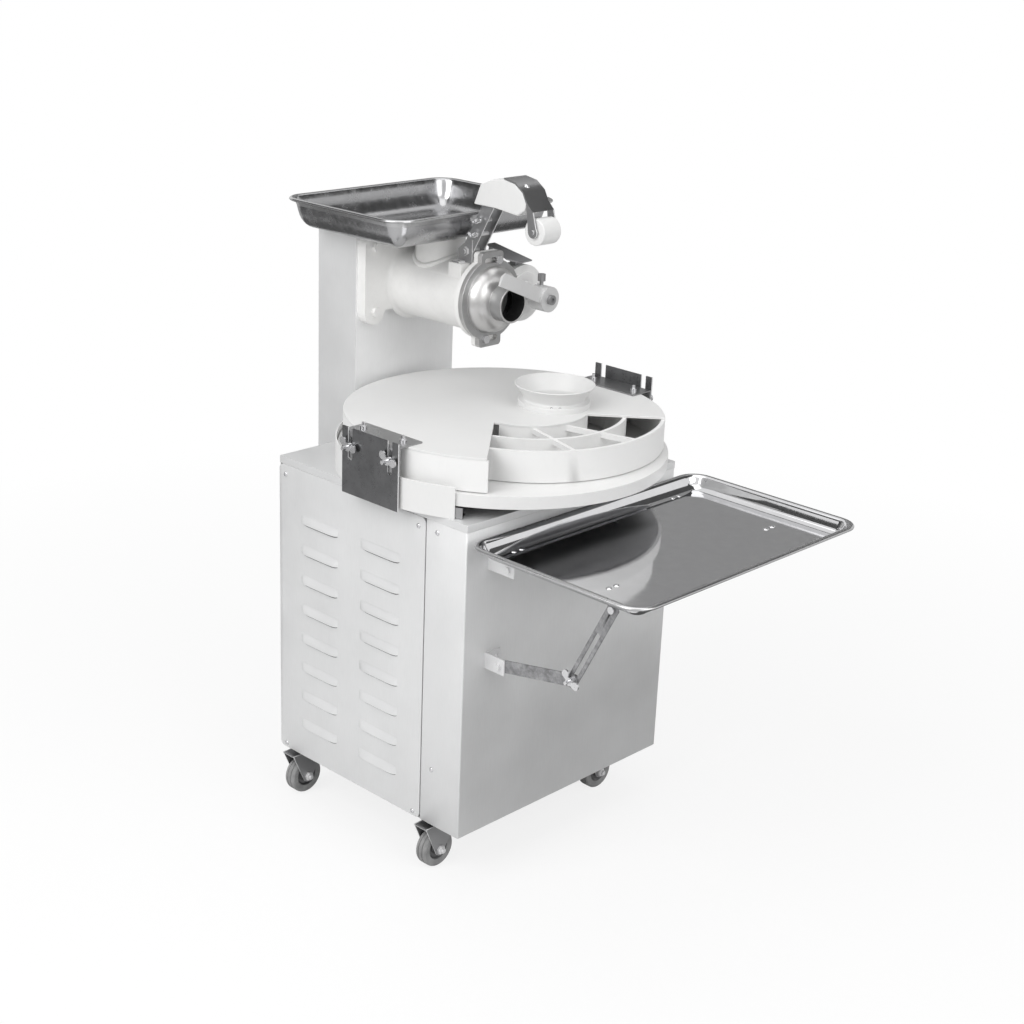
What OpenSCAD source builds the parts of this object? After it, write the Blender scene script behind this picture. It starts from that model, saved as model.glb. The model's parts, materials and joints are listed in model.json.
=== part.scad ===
// Dough divider and rounder: a screw-fed barrel with a rotary knife above a spiral rounding track

/* [Cabinet] */
// Width of the cabinet
cab_w = 600; // [580:5:660]
// Depth of the cabinet
cab_d = 540; // [520:5:600]
// Height of the cabinet without its castors
cab_h = 650; // [600:10:720]
// Thickness of the sheet panels
sheet = 2; // [1.5:0.25:3]
// Height of the down-turned rim of the top plate
cap_rim = 15; // [10:1:25]
// Width of the front panel's returns on the two sides
front_return = 107; // [90:1:130]
// How far the side panels stand proud of the cabinet's sides
panel_proud = 1; // [0.5:0.25:2]
// Leg of the frame's angle bars
angle_leg = 25; // [20:1:35]
// Thickness of the frame's angle bars and of the base plate
angle_t = 3; // [2:0.5:5]
// Rows of louvres on a side panel
louvre_rows = 8; // [4:1:9]
// Height from one louvre to the next
louvre_pitch = 65; // [45:1:66]
// Length of a louvre
louvre_len = 112; // [80:1:130]

/* [Castors] */
// Height of the castors from the floor to the base plate
castor_h = 105; // [100:1:125]
// Radius of the castor wheels
wheel_r = 39; // [36:1:44]
// Width of the castor wheels
wheel_w = 28; // [22:1:32]
// Distance from a castor's swivel axis to its axle
castor_trail = 30; // [22:1:34]
// Inset of the castor swivel axes from the cabinet's sides
castor_inset_x = 58; // [45:1:80]
// Inset of the front castors' swivel axes from the cabinet's front
castor_inset_front = 93; // [45:1:110]
// Inset of the back castors' swivel axes from the cabinet's back
castor_inset_back = 38; // [36:1:80]

/* [Column] */
// Width of the column behind the cabinet
column_w = 280; // [275:5:320]
// Depth of the column
column_d = 115; // [110:1:140]
// Offset of the column and the feed barrel from the cabinet's middle
head_x = 40; // [20:1:60]

/* [Feed head] */
// Height of the feed barrel's axis above the cabinet's top
axis_rise = 320; // [310:1:360]
// Outer radius of the feed barrel
barrel_r = 71; // [68:1:76]
// Radius of the feed barrel's bore
bore_r = 58; // [52:1:62]
// Distance from the cabinet's back to the front end of the barrel
barrel_len = 238; // [225:1:260]
// Thickness of the barrel's rear flange
rear_flange_t = 24; // [18:1:30]
// Half distance between the rear flange bolts across the barrel
rear_bolt_x = 109; // [105:1:111]
// Half distance between the rear flange bolts up the barrel
rear_bolt_z = 67; // [60:1:75]
// Height of the rear flange's middle above the barrel's axis
rear_lift = 14; // [0:1:18]
// Radius of the round ears at the rear flange bolts
ear_r = 27; // [22:1:28]
// Radius of the auger's flight
auger_r = 56; // [48:1:57]
// Radius of the auger's shaft
auger_shaft_r = 16; // [12:1:20]
// Outer radius of the nozzle's flange and of the barrel's front flange
nozzle_flange_r = 82; // [80:1:84]
// Thickness of the nozzle's flange and of the barrel's front flange
nozzle_flange_t = 11; // [8:1:14]
// Outer radius of the nozzle's tube
nozzle_r = 37; // [30:1:42]
// Wall of the nozzle
nozzle_wall = 4; // [3:0.5:6]
// Length of the nozzle in front of its flange
nozzle_len = 61; // [50:1:66]
// Length of the nozzle's straight tube
nozzle_tube = 30; // [20:1:34]
// Distance from the barrel's axis to the nozzle's lug bolts
lug_bolt_z = 79; // [77:1:84]

/* [Hopper] */
// Width of the hopper at its rim
hopper_w = 462; // [420:2:500]
// Depth of the hopper from front to back at its rim
hopper_l = 352; // [320:2:370]
// Height of the hopper's wall
hopper_h = 64; // [50:1:70]
// Height of the hopper's rim above the cabinet's top
hopper_rise = 494; // [486:1:520]
// Distance of the hopper's front rim in front of the cabinet's back
hopper_front = 220; // [210:1:224]
// Radius of the opening from the hopper into the barrel
throat_r = 42; // [35:1:46]
// Radius of the rounded corners of the hopper and of the front tray
pan_corner = 42; // [30:1:60]
// How far the pans' walls lean in from rim to floor
pan_lean = 16; // [10:1:24]
// Wall of the hopper and of the front tray
pan_wall = 2; // [1.5:0.25:3]
// Width of the pans' turned rims
pan_rim = 7; // [5:0.5:10]

/* [Knife] */
// Distance from the barrel's axis to the knife's axis
knife_offset = 95; // [92:1:104]
// Radius of the knife's shaft
knife_shaft_r = 12; // [9:1:14]
// Radius swept by the tip of the blade
knife_r = 148; // [125:1:152]
// Width of the blade
blade_w = 28; // [22:1:34]
// Thickness of the blade
blade_t = 5; // [3:0.5:6]
// Angle of the blade above the level at rest
blade_angle = 23; // [0:1:40]
// Radius of the knife's hub
hub_r = 26; // [22:1:30]
// Length of the knife's hub
hub_len = 38; // [30:1:44]
// Radius of the cutter's bearing housing
housing_r = 58; // [50:1:62]

/* [Duster arm] */
// Width of the duster's block and strap
duster_w = 60; // [50:1:70]
// Offset of the arm to the left of the barrel's middle
arm_shift = 14; // [0:1:16]
// Width of the bracket that carries the arm
bracket_w = 40; // [36:1:48]
// Radius of the roller
roller_r = 26; // [22:1:28]
// Length of the roller
roller_len = 48; // [44:1:52]
// Radius of the arm's pivot pin and the roller's axle
arm_pin_r = 5; // [4:0.5:6]

/* [Rounding track] */
// Gap between the guard skirt and the column
column_gap = 1; // [0.5:0.5:10]
// Radius of the turntable
turntable_r = 330; // [325:1:331]
// Thickness of the turntable
turntable_t = 25; // [20:1:30]
// Height of the turntable's top above the cabinet's top
turntable_rise = 50; // [48:1:58]
// Radius of the track's cover
cover_r = 320; // [312:1:322]
// Thickness of the track's cover
cover_t = 5; // [4:0.5:8]
// Height of the track from its foot to the top of its cover
track_h = 66; // [60:1:72]
// Running gap under the track
track_gap = 2; // [1:0.5:4]
// How far the track can be raised
track_travel = 8; // [4:0.5:8]
// Distance from one turn of the track's wall to the next
track_pitch = 77; // [66:1:80]
// Thickness of the track's wall
track_wall = 8; // [6:0.5:10]
// Angle at which the cover's window begins
window_from = 219; // [212:1:225]
// Angle at which the cover's window ends
window_to = 312; // [300:1:318]
// Angle by which the window's inner corner runs ahead of its outer corner
window_skew = 8; // [0:1:10]
// Radius of the funnel's rim
funnel_r = 82; // [76:1:86]
// Radius of the funnel's neck
funnel_neck_r = 62; // [54:1:66]
// Height of the funnel
funnel_h = 45; // [40:1:50]
// Wall of the funnel
funnel_wall = 4; // [3:0.5:5]
// Distance of the funnel's middle to the right of the turntable's axis
funnel_x = 105; // [95:1:112]
// Distance of the funnel's middle in front of the turntable's axis
funnel_y = 37; // [30:1:44]
// Radius of the turntable's spindle
spindle_r = 20; // [15:1:25]
// Height of the guard skirt on the cabinet's top
skirt_h = 62; // [54:1:64]
// Thickness of the guard skirt
skirt_t = 3; // [2:0.5:4]
// Width of the clamp plates
clamp_w = 157; // [145:1:170]
// How far the right clamp plate stands above the left one
clamp_raise = 20; // [0:1:24]
// Distance between the two studs of a clamp
stud_gap = 111; // [100:1:116]
// Distance of each clamp from the middle of the track
clamp_shift = 21; // [0:1:30]
// Radius of the clamp studs
stud_r = 4; // [3:0.5:5]
// Width of the clamp plates' open slots
slot_w = 12; // [11:0.5:14]

/* [Front tray] */
// Width of the front tray
tray_w = 664; // [600:2:680]
// Depth of the front tray from front to back
tray_l = 415; // [390:5:440]
// Height of the front tray's wall
tray_h = 28; // [22:1:34]
// Distance of the front tray's rim below the cabinet's top
tray_drop = 20; // [16:1:40]
// Gap between the front tray and the cabinet's front
tray_gap = 24; // [18:1:30]
// Distance from the cabinet's middle to the tray's brackets
tray_side_x = 242; // [220:1:250]
// Thickness of the tray's brackets, lugs and arms
strap_t = 3; // [2.5:0.5:4]
// Width of the tray's arms
arm_w = 25; // [22:1:28]
// Radius of the tray's hinge pins and studs
tray_pin_r = 3.5; // [3:0.25:4]
// Distance of the tray's hinge in front of the cabinet
hinge_out = 50; // [46:1:56]
// Distance of the tray's hinge below the cabinet's top
hinge_drop = 86; // [84:1:92]
// Distance from the tray's hinge to the slotted arm's pivot
strut_reach = 250; // [246:1:254]
// Distance of the lower arm's pivot in front of the cabinet
lower_out = 35; // [32:1:38]
// Distance of the lower arm's pivot below the cabinet's top
lower_drop = 285; // [281:1:289]
// How far the strut's stud stands in front of the lower arm's pivot
stud_out = 182; // [179:1:185]
// How far the strut's stud stands above the lower arm's pivot
stud_up = 34; // [32:1:36]

/* [Controls] */
// Width of the control box
box_w = 170; // [150:1:200]
// Height of the control box
box_h = 78; // [66:1:80]
// Depth of the control box
box_d = 42; // [36:1:46]
// Radius of the push buttons
button_r = 11; // [9:1:13]
// Radius of the cable gland's bore
gland_r = 7; // [5:0.5:9]

/* [Hidden] */
$fn = 64;
// Radial clearance of a running fit
run = 0.05;
// Clearance between pieces that move past each other
clear = 0.3;
// Overlap that lets a cut pass through a face
cut = 1;

// Heights above the floor
cab_z = castor_h;
top_z = cab_z + cab_h;
axis_z = top_z + axis_rise;
turn_z = top_z + turntable_rise;
track_z = turn_z + track_gap;
cover_z = track_z + track_h;
hopper_z = top_z + hopper_rise;
hopper_floor_z = hopper_z - hopper_h;
tray_z = top_z - tray_drop;
tray_floor_z = tray_z - tray_h;
panel_top_z = top_z - cap_rim;

// Places from front to back, measured from the cabinet's middle
back_y = cab_d/2;
barrel_y = back_y - barrel_len;
flange_y = barrel_y - nozzle_flange_t;
mouth_y = flange_y - nozzle_len;
column_y = back_y + column_d;
cover_plate_y = column_y + sheet;
screw_head = 2.5;
tray_back_y = -back_y - tray_gap;
tray_front_y = tray_back_y - tray_l;
hopper_back_y = back_y - hopper_front + hopper_l;
// The origin lies on the floor, below the middle of the whole machine
mid_y = (tray_front_y + max(cover_plate_y + screw_head, hopper_back_y))/2;

// Knife
knife_x = head_x + knife_offset;
blade_gap = 2;
blade_y = mouth_y - blade_gap - blade_t;
hub_front_y = blade_y - 5;
hub_face = 4;
thumb_y = hub_front_y + hub_len - 12;
housing_y = barrel_y - nozzle_flange_t + 2;
housing_len = 40;

// Frame and cabinet
frame_x = cab_w/2 - sheet;
frame_y = cab_d/2 - sheet;
base_top_z = cab_z + angle_t;
side_y0 = -back_y + front_return + 1;
screw_r = 5;
shank_r = 2.4;
shank_hole_r = 2.6;
screw_inset = 20;
louvre_h = 20;
louvre_out = 6;
louvre_skin = 1.5;
louvre_back = 126;
louvre_gap = 180;
louvre_top = 110;

// Castors
castor_x = cab_w/2 - castor_inset_x;
castor_front_y = castor_inset_front - cab_d/2;
castor_back_y = cab_d/2 - castor_inset_back;
castor_plate = 70;
castor_plate_t = 3;
plate_bolt = 26;
plate_bolt_r = 6.5;
plate_bolt_h = 5;
race_r = 24;
race_h = 8;
crown_z = castor_h - castor_plate_t - race_h - clear;
king_r = 6;
axle_r = 5;
fork_t = 2.5;
fork_gap = 2;
tyre_t = 13;

// Feed head
rear_hole_r = 6;
bush_r = 30;
auger_pitch = 62;
flight_t = 9;
core_r = 24;
lug_w = 62;
lug_slot = 15;
lug_corner = 8;
lug_top = lug_bolt_z + 17;
lug_hole_r = 5.5;
lug_head_r = 9;
lug_nut_h = 8;
barrel_back_y = barrel_y + nozzle_flange_t;
dome_r = 68;
hopper_y = hopper_back_y - hopper_l/2;
throat_y = back_y - 100;
throat_wall = 9;
pad_z = axis_z + barrel_r + 1;
pad_y = barrel_back_y + lug_nut_h + 1;

// Gear motors
auger_box = [116, 86, 130];
auger_motor_r = 42;
auger_motor_len = 220;
knife_box = [58, 80, 76];
knife_motor_r = 27;
knife_motor_len = 150;
turn_box = [150, 150, 112];
turn_motor_r = 62;
turn_motor_len = 190;

// Duster arm: places in the plane across the machine, as distance in front of the barrel's end and height
arm_x = head_x - arm_shift;
pivot = [barrel_y + 30, axis_z + 95];
leg_top = [barrel_y - 24, axis_z + 189];
leg_w = 28;
leg_t = 3;
block_bottom = axis_z + 193;
duster_side = [[barrel_y + 4, block_bottom], [barrel_y - 13, axis_z + 234], [barrel_y - 44, axis_z + 247],
    [barrel_y - 76, axis_z + 252], [barrel_y - 106, axis_z + 247], [barrel_y - 126, axis_z + 233],
    [barrel_y - 137, axis_z + 213], [barrel_y - 134, axis_z + 200], [barrel_y - 114, axis_z + 187],
    [barrel_y - 54, block_bottom]];
strap_bend = [barrel_y - 152, axis_z + 199];
roller_at = [barrel_y - 156, axis_z + 162];
eye_r = 11;
bracket_t = 3;
foot_len = 18;
pad_half = bracket_w/2 + foot_len + 4;

// Rounding track
ring_3 = cover_r;
ring_2 = ring_3 - track_pitch;
ring_1 = ring_2 - track_pitch;
ring_0 = ring_1 - track_pitch;
wall_top_z = cover_z - cover_t;
wall_lap = 1.5;
wall_inset = 0.3;
skirt_r = turntable_r + 2;
skirt_out = skirt_r + skirt_t;
disc_y = skirt_out + column_gap - back_y;
skirt_from = 8;
skirt_to = 209;
plate_t = 3;
leg_in = skirt_out - plate_t + 0.8;
plate_in = leg_in + plate_t + clear;
plate_out = plate_in + plate_t;
plate_top_z = cover_z + 10;
slot_land = 29;
plate_bottom_z = top_z - 5;
stud_z = plate_top_z - slot_land - track_travel;
slot_bottom_z = stud_z - stud_r - 24;
flange_in = cover_r - 42;
leg_bottom_z = top_z + skirt_h + 4;
wing_t = 8;
stud_end = plate_out + clear + wing_t + 12;
bolt_ring_x = cover_r - 14;
rib_angles = [254, 284];
rib_h = 10;
rib_w = 8;
funnel_at = [funnel_x, -disc_y - funnel_y];

// Front tray and its strut, as [distance from front to back, height]
hinge_at = [-back_y - hinge_out, top_z - hinge_drop];
strut_at = [hinge_at[0] - strut_reach, hinge_at[1]];
lower_at = [-back_y - lower_out, top_z - lower_drop];
stud_at = [lower_at[0] - stud_out, lower_at[1] + stud_up];
strut_len = norm(strut_at - stud_at);
strut_dir = (stud_at - strut_at)/strut_len;
slot_half = 4.6;
slot_len = 118;
lug_r = 11;

// Controls
box_y = back_y - louvre_back - louvre_gap/2;
box_z = panel_top_z - 8 - box_h;
box_x = cab_w/2 + panel_proud;
box_face_t = 4;
button_y = [box_y - box_w/2 + 34, box_y - box_w/2 + 76];
button_z = box_z + box_h/2;
button_out = 6;
button_len = 18;
knob_r = 15;
knob_h = 12;
knob_shaft_r = 3;
knob_inset = 38;
knob_y = box_y + box_w/2 - knob_inset;

// Places a piece in the machine's own frame
module placed() {
    translate([0, -mid_y, 0]) children();
}

// Box between two corners
module block(low, high) {
    translate(low) cube(high - low);
}

// Round bar from front to back
module rod_y(r, y0, y1, x, z) {
    translate([x, y1, z]) rotate([90, 0, 0]) cylinder(r = r, h = y1 - y0);
}

// Round bar from left to right
module rod_x(r, x0, x1, y, z) {
    translate([x0, y, z]) rotate([0, 90, 0]) cylinder(r = r, h = x1 - x0);
}

// Upright round bar
module rod_z(r, z0, z1, x, y) {
    translate([x, y, z0]) cylinder(r = r, h = z1 - z0);
}

// Plate across the machine: an outline of front-to-back places and heights, from x over a thickness
module cross_plate(x, t) {
    translate([x, 0, 0]) rotate([90, 0, 90]) linear_extrude(t) children();
}

// Plate facing the front: an outline of sideways places and heights, from y over a thickness
module front_plate(y, t) {
    translate([0, y + t, 0]) rotate([90, 0, 0]) linear_extrude(t) children();
}

// Both sides of the machine
module both_sides() {
    children();
    mirror([1, 0, 0]) children();
}

// Rectangle with round corners, from its low corner
module round_rect(w, h, r) {
    translate([r, 0]) square([w - 2*r, h]);
    translate([0, r]) square([w, h - 2*r]);
    for (x = [r, w - r])
        for (y = [r, h - r])
            translate([x, y]) circle(r);
}

// Flat bar between two places, with round ends
module round_bar(a, b, w) {
    d = b - a;
    translate(a) rotate(atan2(d[1], d[0])) translate([0, -w/2]) square([norm(d), w]);
    translate(a) circle(w/2);
    translate(b) circle(w/2);
}

// Outline of a slot between two places
function slot_points(a, b, r) =
    let (turn = atan2(b[1] - a[1], b[0] - a[0]))
    concat([for (i = [0:12]) a + r*[cos(turn + 90 + 15*i), sin(turn + 90 + 15*i)]],
        [for (i = [0:12]) b + r*[cos(turn - 90 + 15*i), sin(turn - 90 + 15*i)]]);

// Places of the nozzle's lug bolts, sideways and up
function lug_bolts() = [for (s = [-1, 1]) [head_x + s*lug_slot, axis_z + s*lug_bolt_z]];

// Places of the rear flange bolts, sideways and up
function rear_bolts() = [
    for (x = [-1, 1])
        for (z = [-1, 1])
            [head_x + x*rear_bolt_x, axis_z + rear_lift + z*rear_bolt_z]];

// Places of the screws on one side of the cabinet, from front to back and up
function side_screws() = [
    [side_y0 + screw_inset, panel_top_z - screw_inset],
    [back_y - screw_inset, panel_top_z - screw_inset],
    [side_y0 + screw_inset, cab_z + screw_inset/2],
    [back_y - screw_inset, cab_z + screw_inset/2]];
function return_screws() = [for (z = [panel_top_z - screw_inset, cab_z + 121]) [side_y0 - 30, z]];
function back_screws() = [
    for (x = [-1, 1])
        for (z = [cab_z + screw_inset, panel_top_z - screw_inset])
            [x*(frame_x - screw_inset/2), z]];
function cover_screws() = [
    for (x = [-1, 1])
        for (z = [cab_z + 40, (cab_z + hopper_floor_z)/2, hopper_floor_z - 40])
            [head_x + x*(column_w/2 - 12), z]];

// Angle bar with its corner at the outer edge, running along x, y or z from the given corner
module angle_z(x, y, z0, z1) {
    sx = sign(x);
    sy = sign(y);
    translate([x, y, z0]) mirror([max(sx, 0), 0, 0]) mirror([0, max(sy, 0), 0]) {
        cube([angle_leg, angle_t, z1 - z0]);
        cube([angle_t, angle_leg, z1 - z0]);
    }
}

module frame() {
    color("dimgray") placed() {
        for (x = [-frame_x, frame_x])
            for (y = [-frame_y, frame_y])
                angle_z(x, y, base_top_z, top_z - angle_t);
        for (y = [-1, 1])
            for (z = [base_top_z, top_z - angle_t - angle_leg])
                translate([0, y*(frame_y - angle_t/2), z + angle_leg/2])
                    cube([2*frame_x - 2*angle_t, angle_t, angle_leg], center = true);
        for (x = [-1, 1])
            for (z = [base_top_z, top_z - angle_t - angle_leg])
                translate([x*(frame_x - angle_t/2), 0, z + angle_leg/2])
                    cube([angle_t, 2*frame_y - 2*angle_t, angle_leg], center = true);
    }
}

module base_plate() {
    color("gray") placed() block([-frame_x, -frame_y, cab_z], [frame_x, frame_y, base_top_z]);
}

module top_plate() {
    color("gainsboro") placed() difference() {
        block([-cab_w/2, -back_y, panel_top_z], [cab_w/2, back_y, top_z]);
        block([-frame_x, -frame_y, panel_top_z - cut], [frame_x, frame_y, top_z - angle_t]);
        rod_z(spindle_r + 26, panel_top_z - cut, top_z + cut, 0, -disc_y);
    }
}

module front_panel() {
    color("silver") placed() difference() {
        block([-cab_w/2, -back_y, cab_z], [cab_w/2, -back_y + front_return, panel_top_z]);
        block([-frame_x, -frame_y, cab_z - cut], [frame_x, back_y, panel_top_z + cut]);
        for (p = return_screws())
            rod_x(shank_hole_r, -cab_w, cab_w, p[0], p[1]);
    }
}

// Hood of one louvre: a curved sheet closed at the top and the ends, open below
module louvre_hood(r, out, len) {
    intersection() {
        translate([0, len/2, 0]) rotate([90, 0, 0]) linear_extrude(len) intersection() {
            translate([out - r, 0]) circle(r);
            translate([-out, 0]) square([3*out, r]);
        }
        rotate([0, -90, 0]) linear_extrude(4*out, center = true) translate([0, -len/2])
            round_rect(louvre_h, len, louvre_h/2 - 1);
    }
}

// Louvre places on a side panel, from front to back and up
function louvres() = [
    for (row = [0:louvre_rows - 1])
        for (col = [0, 1])
            [back_y - louvre_back - col*louvre_gap, panel_top_z - louvre_top - row*louvre_pitch]];

// Side panel standing proud on the left, with its louvres
module side_panel() {
    w = back_y - side_y0;
    x_out = -cab_w/2 - panel_proud;
    difference() {
        union() {
            cross_plate(x_out, sheet + panel_proud) translate([side_y0, cab_z])
                round_rect(w, panel_top_z - cab_z, 12);
            for (p = louvres())
                translate([x_out, p[0], p[1]]) mirror([1, 0, 0])
                    louvre_hood(louvre_h, louvre_out, louvre_len);
        }
        for (p = louvres())
            translate([x_out, p[0], p[1] - cut]) mirror([1, 0, 0])
                louvre_hood(louvre_h, louvre_out - louvre_skin, louvre_len - 4*louvre_skin);
        for (p = side_screws())
            rod_x(shank_hole_r, -cab_w, -cab_w/4, p[0], p[1]);
    }
}

module left_panel() {
    color("gainsboro") placed() side_panel();
}

module right_panel() {
    color("gainsboro") placed() mirror([1, 0, 0]) side_panel();
}

module back_panel() {
    color("gainsboro") placed() difference() {
        block([-frame_x, frame_y, cab_z], [frame_x, back_y, panel_top_z]);
        for (p = back_screws())
            rod_y(shank_hole_r, frame_y - cut, back_y + cut, p[0], p[1]);
        rod_y(gland_r + 3.1, frame_y - cut, back_y + cut, gland_x(), gland_z());
    }
}

function gland_x() = -cab_w/2 + 90;
function gland_z() = cab_z + 70;

module panel_screws() {
    color("lightgray") placed() {
        both_sides() {
            for (p = side_screws()) {
                rod_x(screw_r, -box_x - screw_head, -box_x, p[0], p[1]);
                rod_x(shank_r, -box_x - screw_head, -frame_x, p[0], p[1]);
            }
            for (p = return_screws()) {
                rod_x(screw_r, -cab_w/2 - screw_head, -cab_w/2, p[0], p[1]);
                rod_x(shank_r, -cab_w/2 - screw_head, -frame_x, p[0], p[1]);
            }
        }
        for (p = back_screws()) {
            rod_y(screw_r, back_y, back_y + screw_head, p[0], p[1]);
            rod_y(shank_r, frame_y, back_y + screw_head, p[0], p[1]);
        }
        for (p = cover_screws()) {
            rod_y(screw_r, cover_plate_y, cover_plate_y + screw_head, p[0], p[1]);
            rod_y(shank_r, column_y, cover_plate_y + screw_head, p[0], p[1]);
        }
    }
}

// The four castor places: front or back, left or right
function castor_at(front, left) = [left ? -castor_x : castor_x, front ? castor_front_y : castor_back_y];

module castor_plates() {
    color("silver") placed() for (front = [true, false])
        for (left = [true, false])
            translate(castor_at(front, left)) difference() {
                union() {
                    translate([-castor_plate/2, -castor_plate/2, castor_h - castor_plate_t])
                        linear_extrude(castor_plate_t) round_rect(castor_plate, castor_plate, 8);
                    rod_z(race_r, castor_h - castor_plate_t - race_h, castor_h - castor_plate_t, 0, 0);
                    for (x = [-1, 1])
                        for (y = [-1, 1])
                            translate([x*plate_bolt, y*plate_bolt, castor_h - castor_plate_t - plate_bolt_h])
                                cylinder(r = plate_bolt_r, h = plate_bolt_h, $fn = 6);
                }
                rod_z(king_r + run, castor_h - castor_plate_t - race_h - cut, castor_h + cut, 0, 0);
            }
}

// Fork with its kingpin and axle, about its own swivel axis, with the wheel trailing to the left
module castor_fork() {
    side = wheel_w/2 + fork_gap;
    rod_z(king_r, crown_z - fork_t, castor_h - 0.5, 0, 0);
    rod_z(race_r, crown_z - fork_t, crown_z, 0, 0);
    for (s = [-1, 1])
        translate([0, s*(side + fork_t/2) + fork_t/2, 0]) rotate([90, 0, 0]) linear_extrude(fork_t) {
            polygon([[-race_r - 6, crown_z], [16, crown_z], [12, crown_z - 14],
                [-castor_trail + 12, wheel_r - 6], [-castor_trail - 12, wheel_r - 6]]);
            translate([-castor_trail, wheel_r]) circle(14);
        }
    block([-race_r - 6, -side - fork_t, crown_z - fork_t], [16, side + fork_t, crown_z]);
    rod_y(axle_r, -side - fork_t - 8, side + fork_t + 8, -castor_trail, wheel_r);
    for (s = [-1, 1])
        translate([-castor_trail, s*(side + fork_t + 3) + 3, wheel_r]) rotate([90, 0, 0])
            cylinder(r = 9.5, h = 6, $fn = 6);
}

// Wheel with a rubber tyre on a dished hub
module castor_wheel() {
    half = wheel_w/2;
    hub = wheel_r - tyre_t;
    translate([-castor_trail, 0, wheel_r]) rotate([90, 0, 0]) rotate_extrude()
        polygon([[axle_r + run, -half], [12, -half], [13, -half + 5], [hub - 3, -half + 5], [hub, -half + 1],
            [wheel_r - 5, -half], [wheel_r, -half + 6], [wheel_r, half - 6], [wheel_r - 5, half],
            [hub, half - 1], [hub - 3, half - 5], [13, half - 5], [12, half], [axle_r + run, half]]);
}

module castor_fork_fl() {
    color("dimgray") placed() translate(castor_at(true, true)) castor_fork();
}

module castor_fork_fr() {
    color("dimgray") placed() translate(castor_at(true, false)) castor_fork();
}

module castor_fork_bl() {
    color("dimgray") placed() translate(castor_at(false, true)) castor_fork();
}

module castor_fork_br() {
    color("dimgray") placed() translate(castor_at(false, false)) castor_fork();
}

module castor_wheel_fl() {
    color("gray") placed() translate(castor_at(true, true)) castor_wheel();
}

module castor_wheel_fr() {
    color("gray") placed() translate(castor_at(true, false)) castor_wheel();
}

module castor_wheel_bl() {
    color("gray") placed() translate(castor_at(false, true)) castor_wheel();
}

module castor_wheel_br() {
    color("gray") placed() translate(castor_at(false, false)) castor_wheel();
}

module column_shell() {
    half = column_w/2;
    color("lightgray") placed() difference() {
        block([head_x - half, back_y, cab_z], [head_x + half, column_y, hopper_floor_z]);
        block([head_x - half + sheet, back_y + sheet, cab_z + sheet],
            [head_x + half - sheet, column_y + cut, hopper_floor_z - sheet]);
        rod_y(auger_shaft_r + 2, back_y - cut, back_y + sheet + cut, head_x, axis_z);
        rod_y(knife_shaft_r + 2, back_y - cut, back_y + sheet + cut, knife_x, axis_z);
        for (p = rear_bolts())
            rod_y(rear_hole_r, back_y - cut, back_y + sheet + cut, p[0], p[1]);
    }
}

module column_cover() {
    half = column_w/2;
    color("lightgray") placed() difference() {
        block([head_x - half, column_y, cab_z], [head_x + half, cover_plate_y, hopper_floor_z]);
        for (p = cover_screws())
            rod_y(shank_hole_r, column_y - cut, cover_plate_y + cut, p[0], p[1]);
    }
}

// Lug outline above and below the barrel, as a sideways place and a height
module lug_outline() {
    for (s = [-1, 1])
        translate([head_x, axis_z]) mirror([0, s < 0 ? 1 : 0]) translate([-lug_w/2, 0])
            round_rect(lug_w, lug_top, lug_corner);
}

module barrel() {
    throat_out = throat_r + throat_wall;
    flange_mid = axis_z + rear_lift;
    color("whitesmoke") placed() difference() {
        union() {
            front_plate(back_y - rear_flange_t, rear_flange_t) {
                for (x = [head_x - rear_bolt_x, head_x + rear_bolt_x])
                    round_bar([x, flange_mid - rear_bolt_z], [x, flange_mid + rear_bolt_z], 2*ear_r);
                translate([head_x - rear_bolt_x, flange_mid - rear_bolt_z])
                    square([2*rear_bolt_x, 2*rear_bolt_z]);
            }
            rod_y(barrel_r, barrel_y, back_y, head_x, axis_z);
            front_plate(barrel_y, nozzle_flange_t) {
                translate([head_x, axis_z]) circle(nozzle_flange_r);
                lug_outline();
            }
            rod_z(throat_out, axis_z, hopper_floor_z, head_x, throat_y);
            block([arm_x - pad_half, pad_y, axis_z], [arm_x + pad_half, pivot[0] + 26, pad_z]);
        }
        rod_y(bore_r, barrel_y - cut, back_y - rear_flange_t, head_x, axis_z);
        rod_y(bush_r, back_y - rear_flange_t - cut, back_y + cut, head_x, axis_z);
        rod_z(throat_r, axis_z, hopper_floor_z + cut, head_x, throat_y);
        for (p = rear_bolts())
            rod_y(rear_hole_r, back_y - rear_flange_t - cut, back_y + cut, p[0], p[1]);
        for (p = lug_bolts())
            rod_y(lug_hole_r, barrel_y - cut, barrel_back_y + cut, p[0], p[1]);
        rod_y(knife_shaft_r + 2, barrel_y - cut, back_y + cut, knife_x, axis_z);
    }
}

// Hex bolt along y with its head to the front
module bolt_y(r, head_r, head_h, y0, y1, x, z) {
    rod_y(r, y0, y1, x, z);
    translate([x, y0, z]) rotate([90, 0, 0]) cylinder(r = head_r, h = head_h, $fn = 6);
}

module head_bolts() {
    color("silver") placed() {
        for (p = rear_bolts())
            bolt_y(rear_hole_r - 0.2, 10, 8, back_y - rear_flange_t, back_y + sheet + 8, p[0], p[1]);
        for (p = lug_bolts()) {
            bolt_y(lug_hole_r - 0.2, lug_head_r, 7, flange_y, barrel_back_y + lug_nut_h, p[0], p[1]);
            translate([p[0], barrel_back_y + lug_nut_h, p[1]]) rotate([90, 0, 0])
                cylinder(r = lug_head_r, h = lug_nut_h, $fn = 6);
        }
    }
}

// Solid pan with leaning walls and round corners, from its rim down
module pan_solid(w, l, h, lean, corner) {
    hull() for (level = [[0, lean], [h, 0]])
        for (x = [-1, 1])
            for (y = [-1, 1])
                translate([x*(w/2 - corner), y*(l/2 - corner), level[0]])
                    cylinder(r = corner - level[1], h = 0.01, $fn = 32);
}

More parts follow.
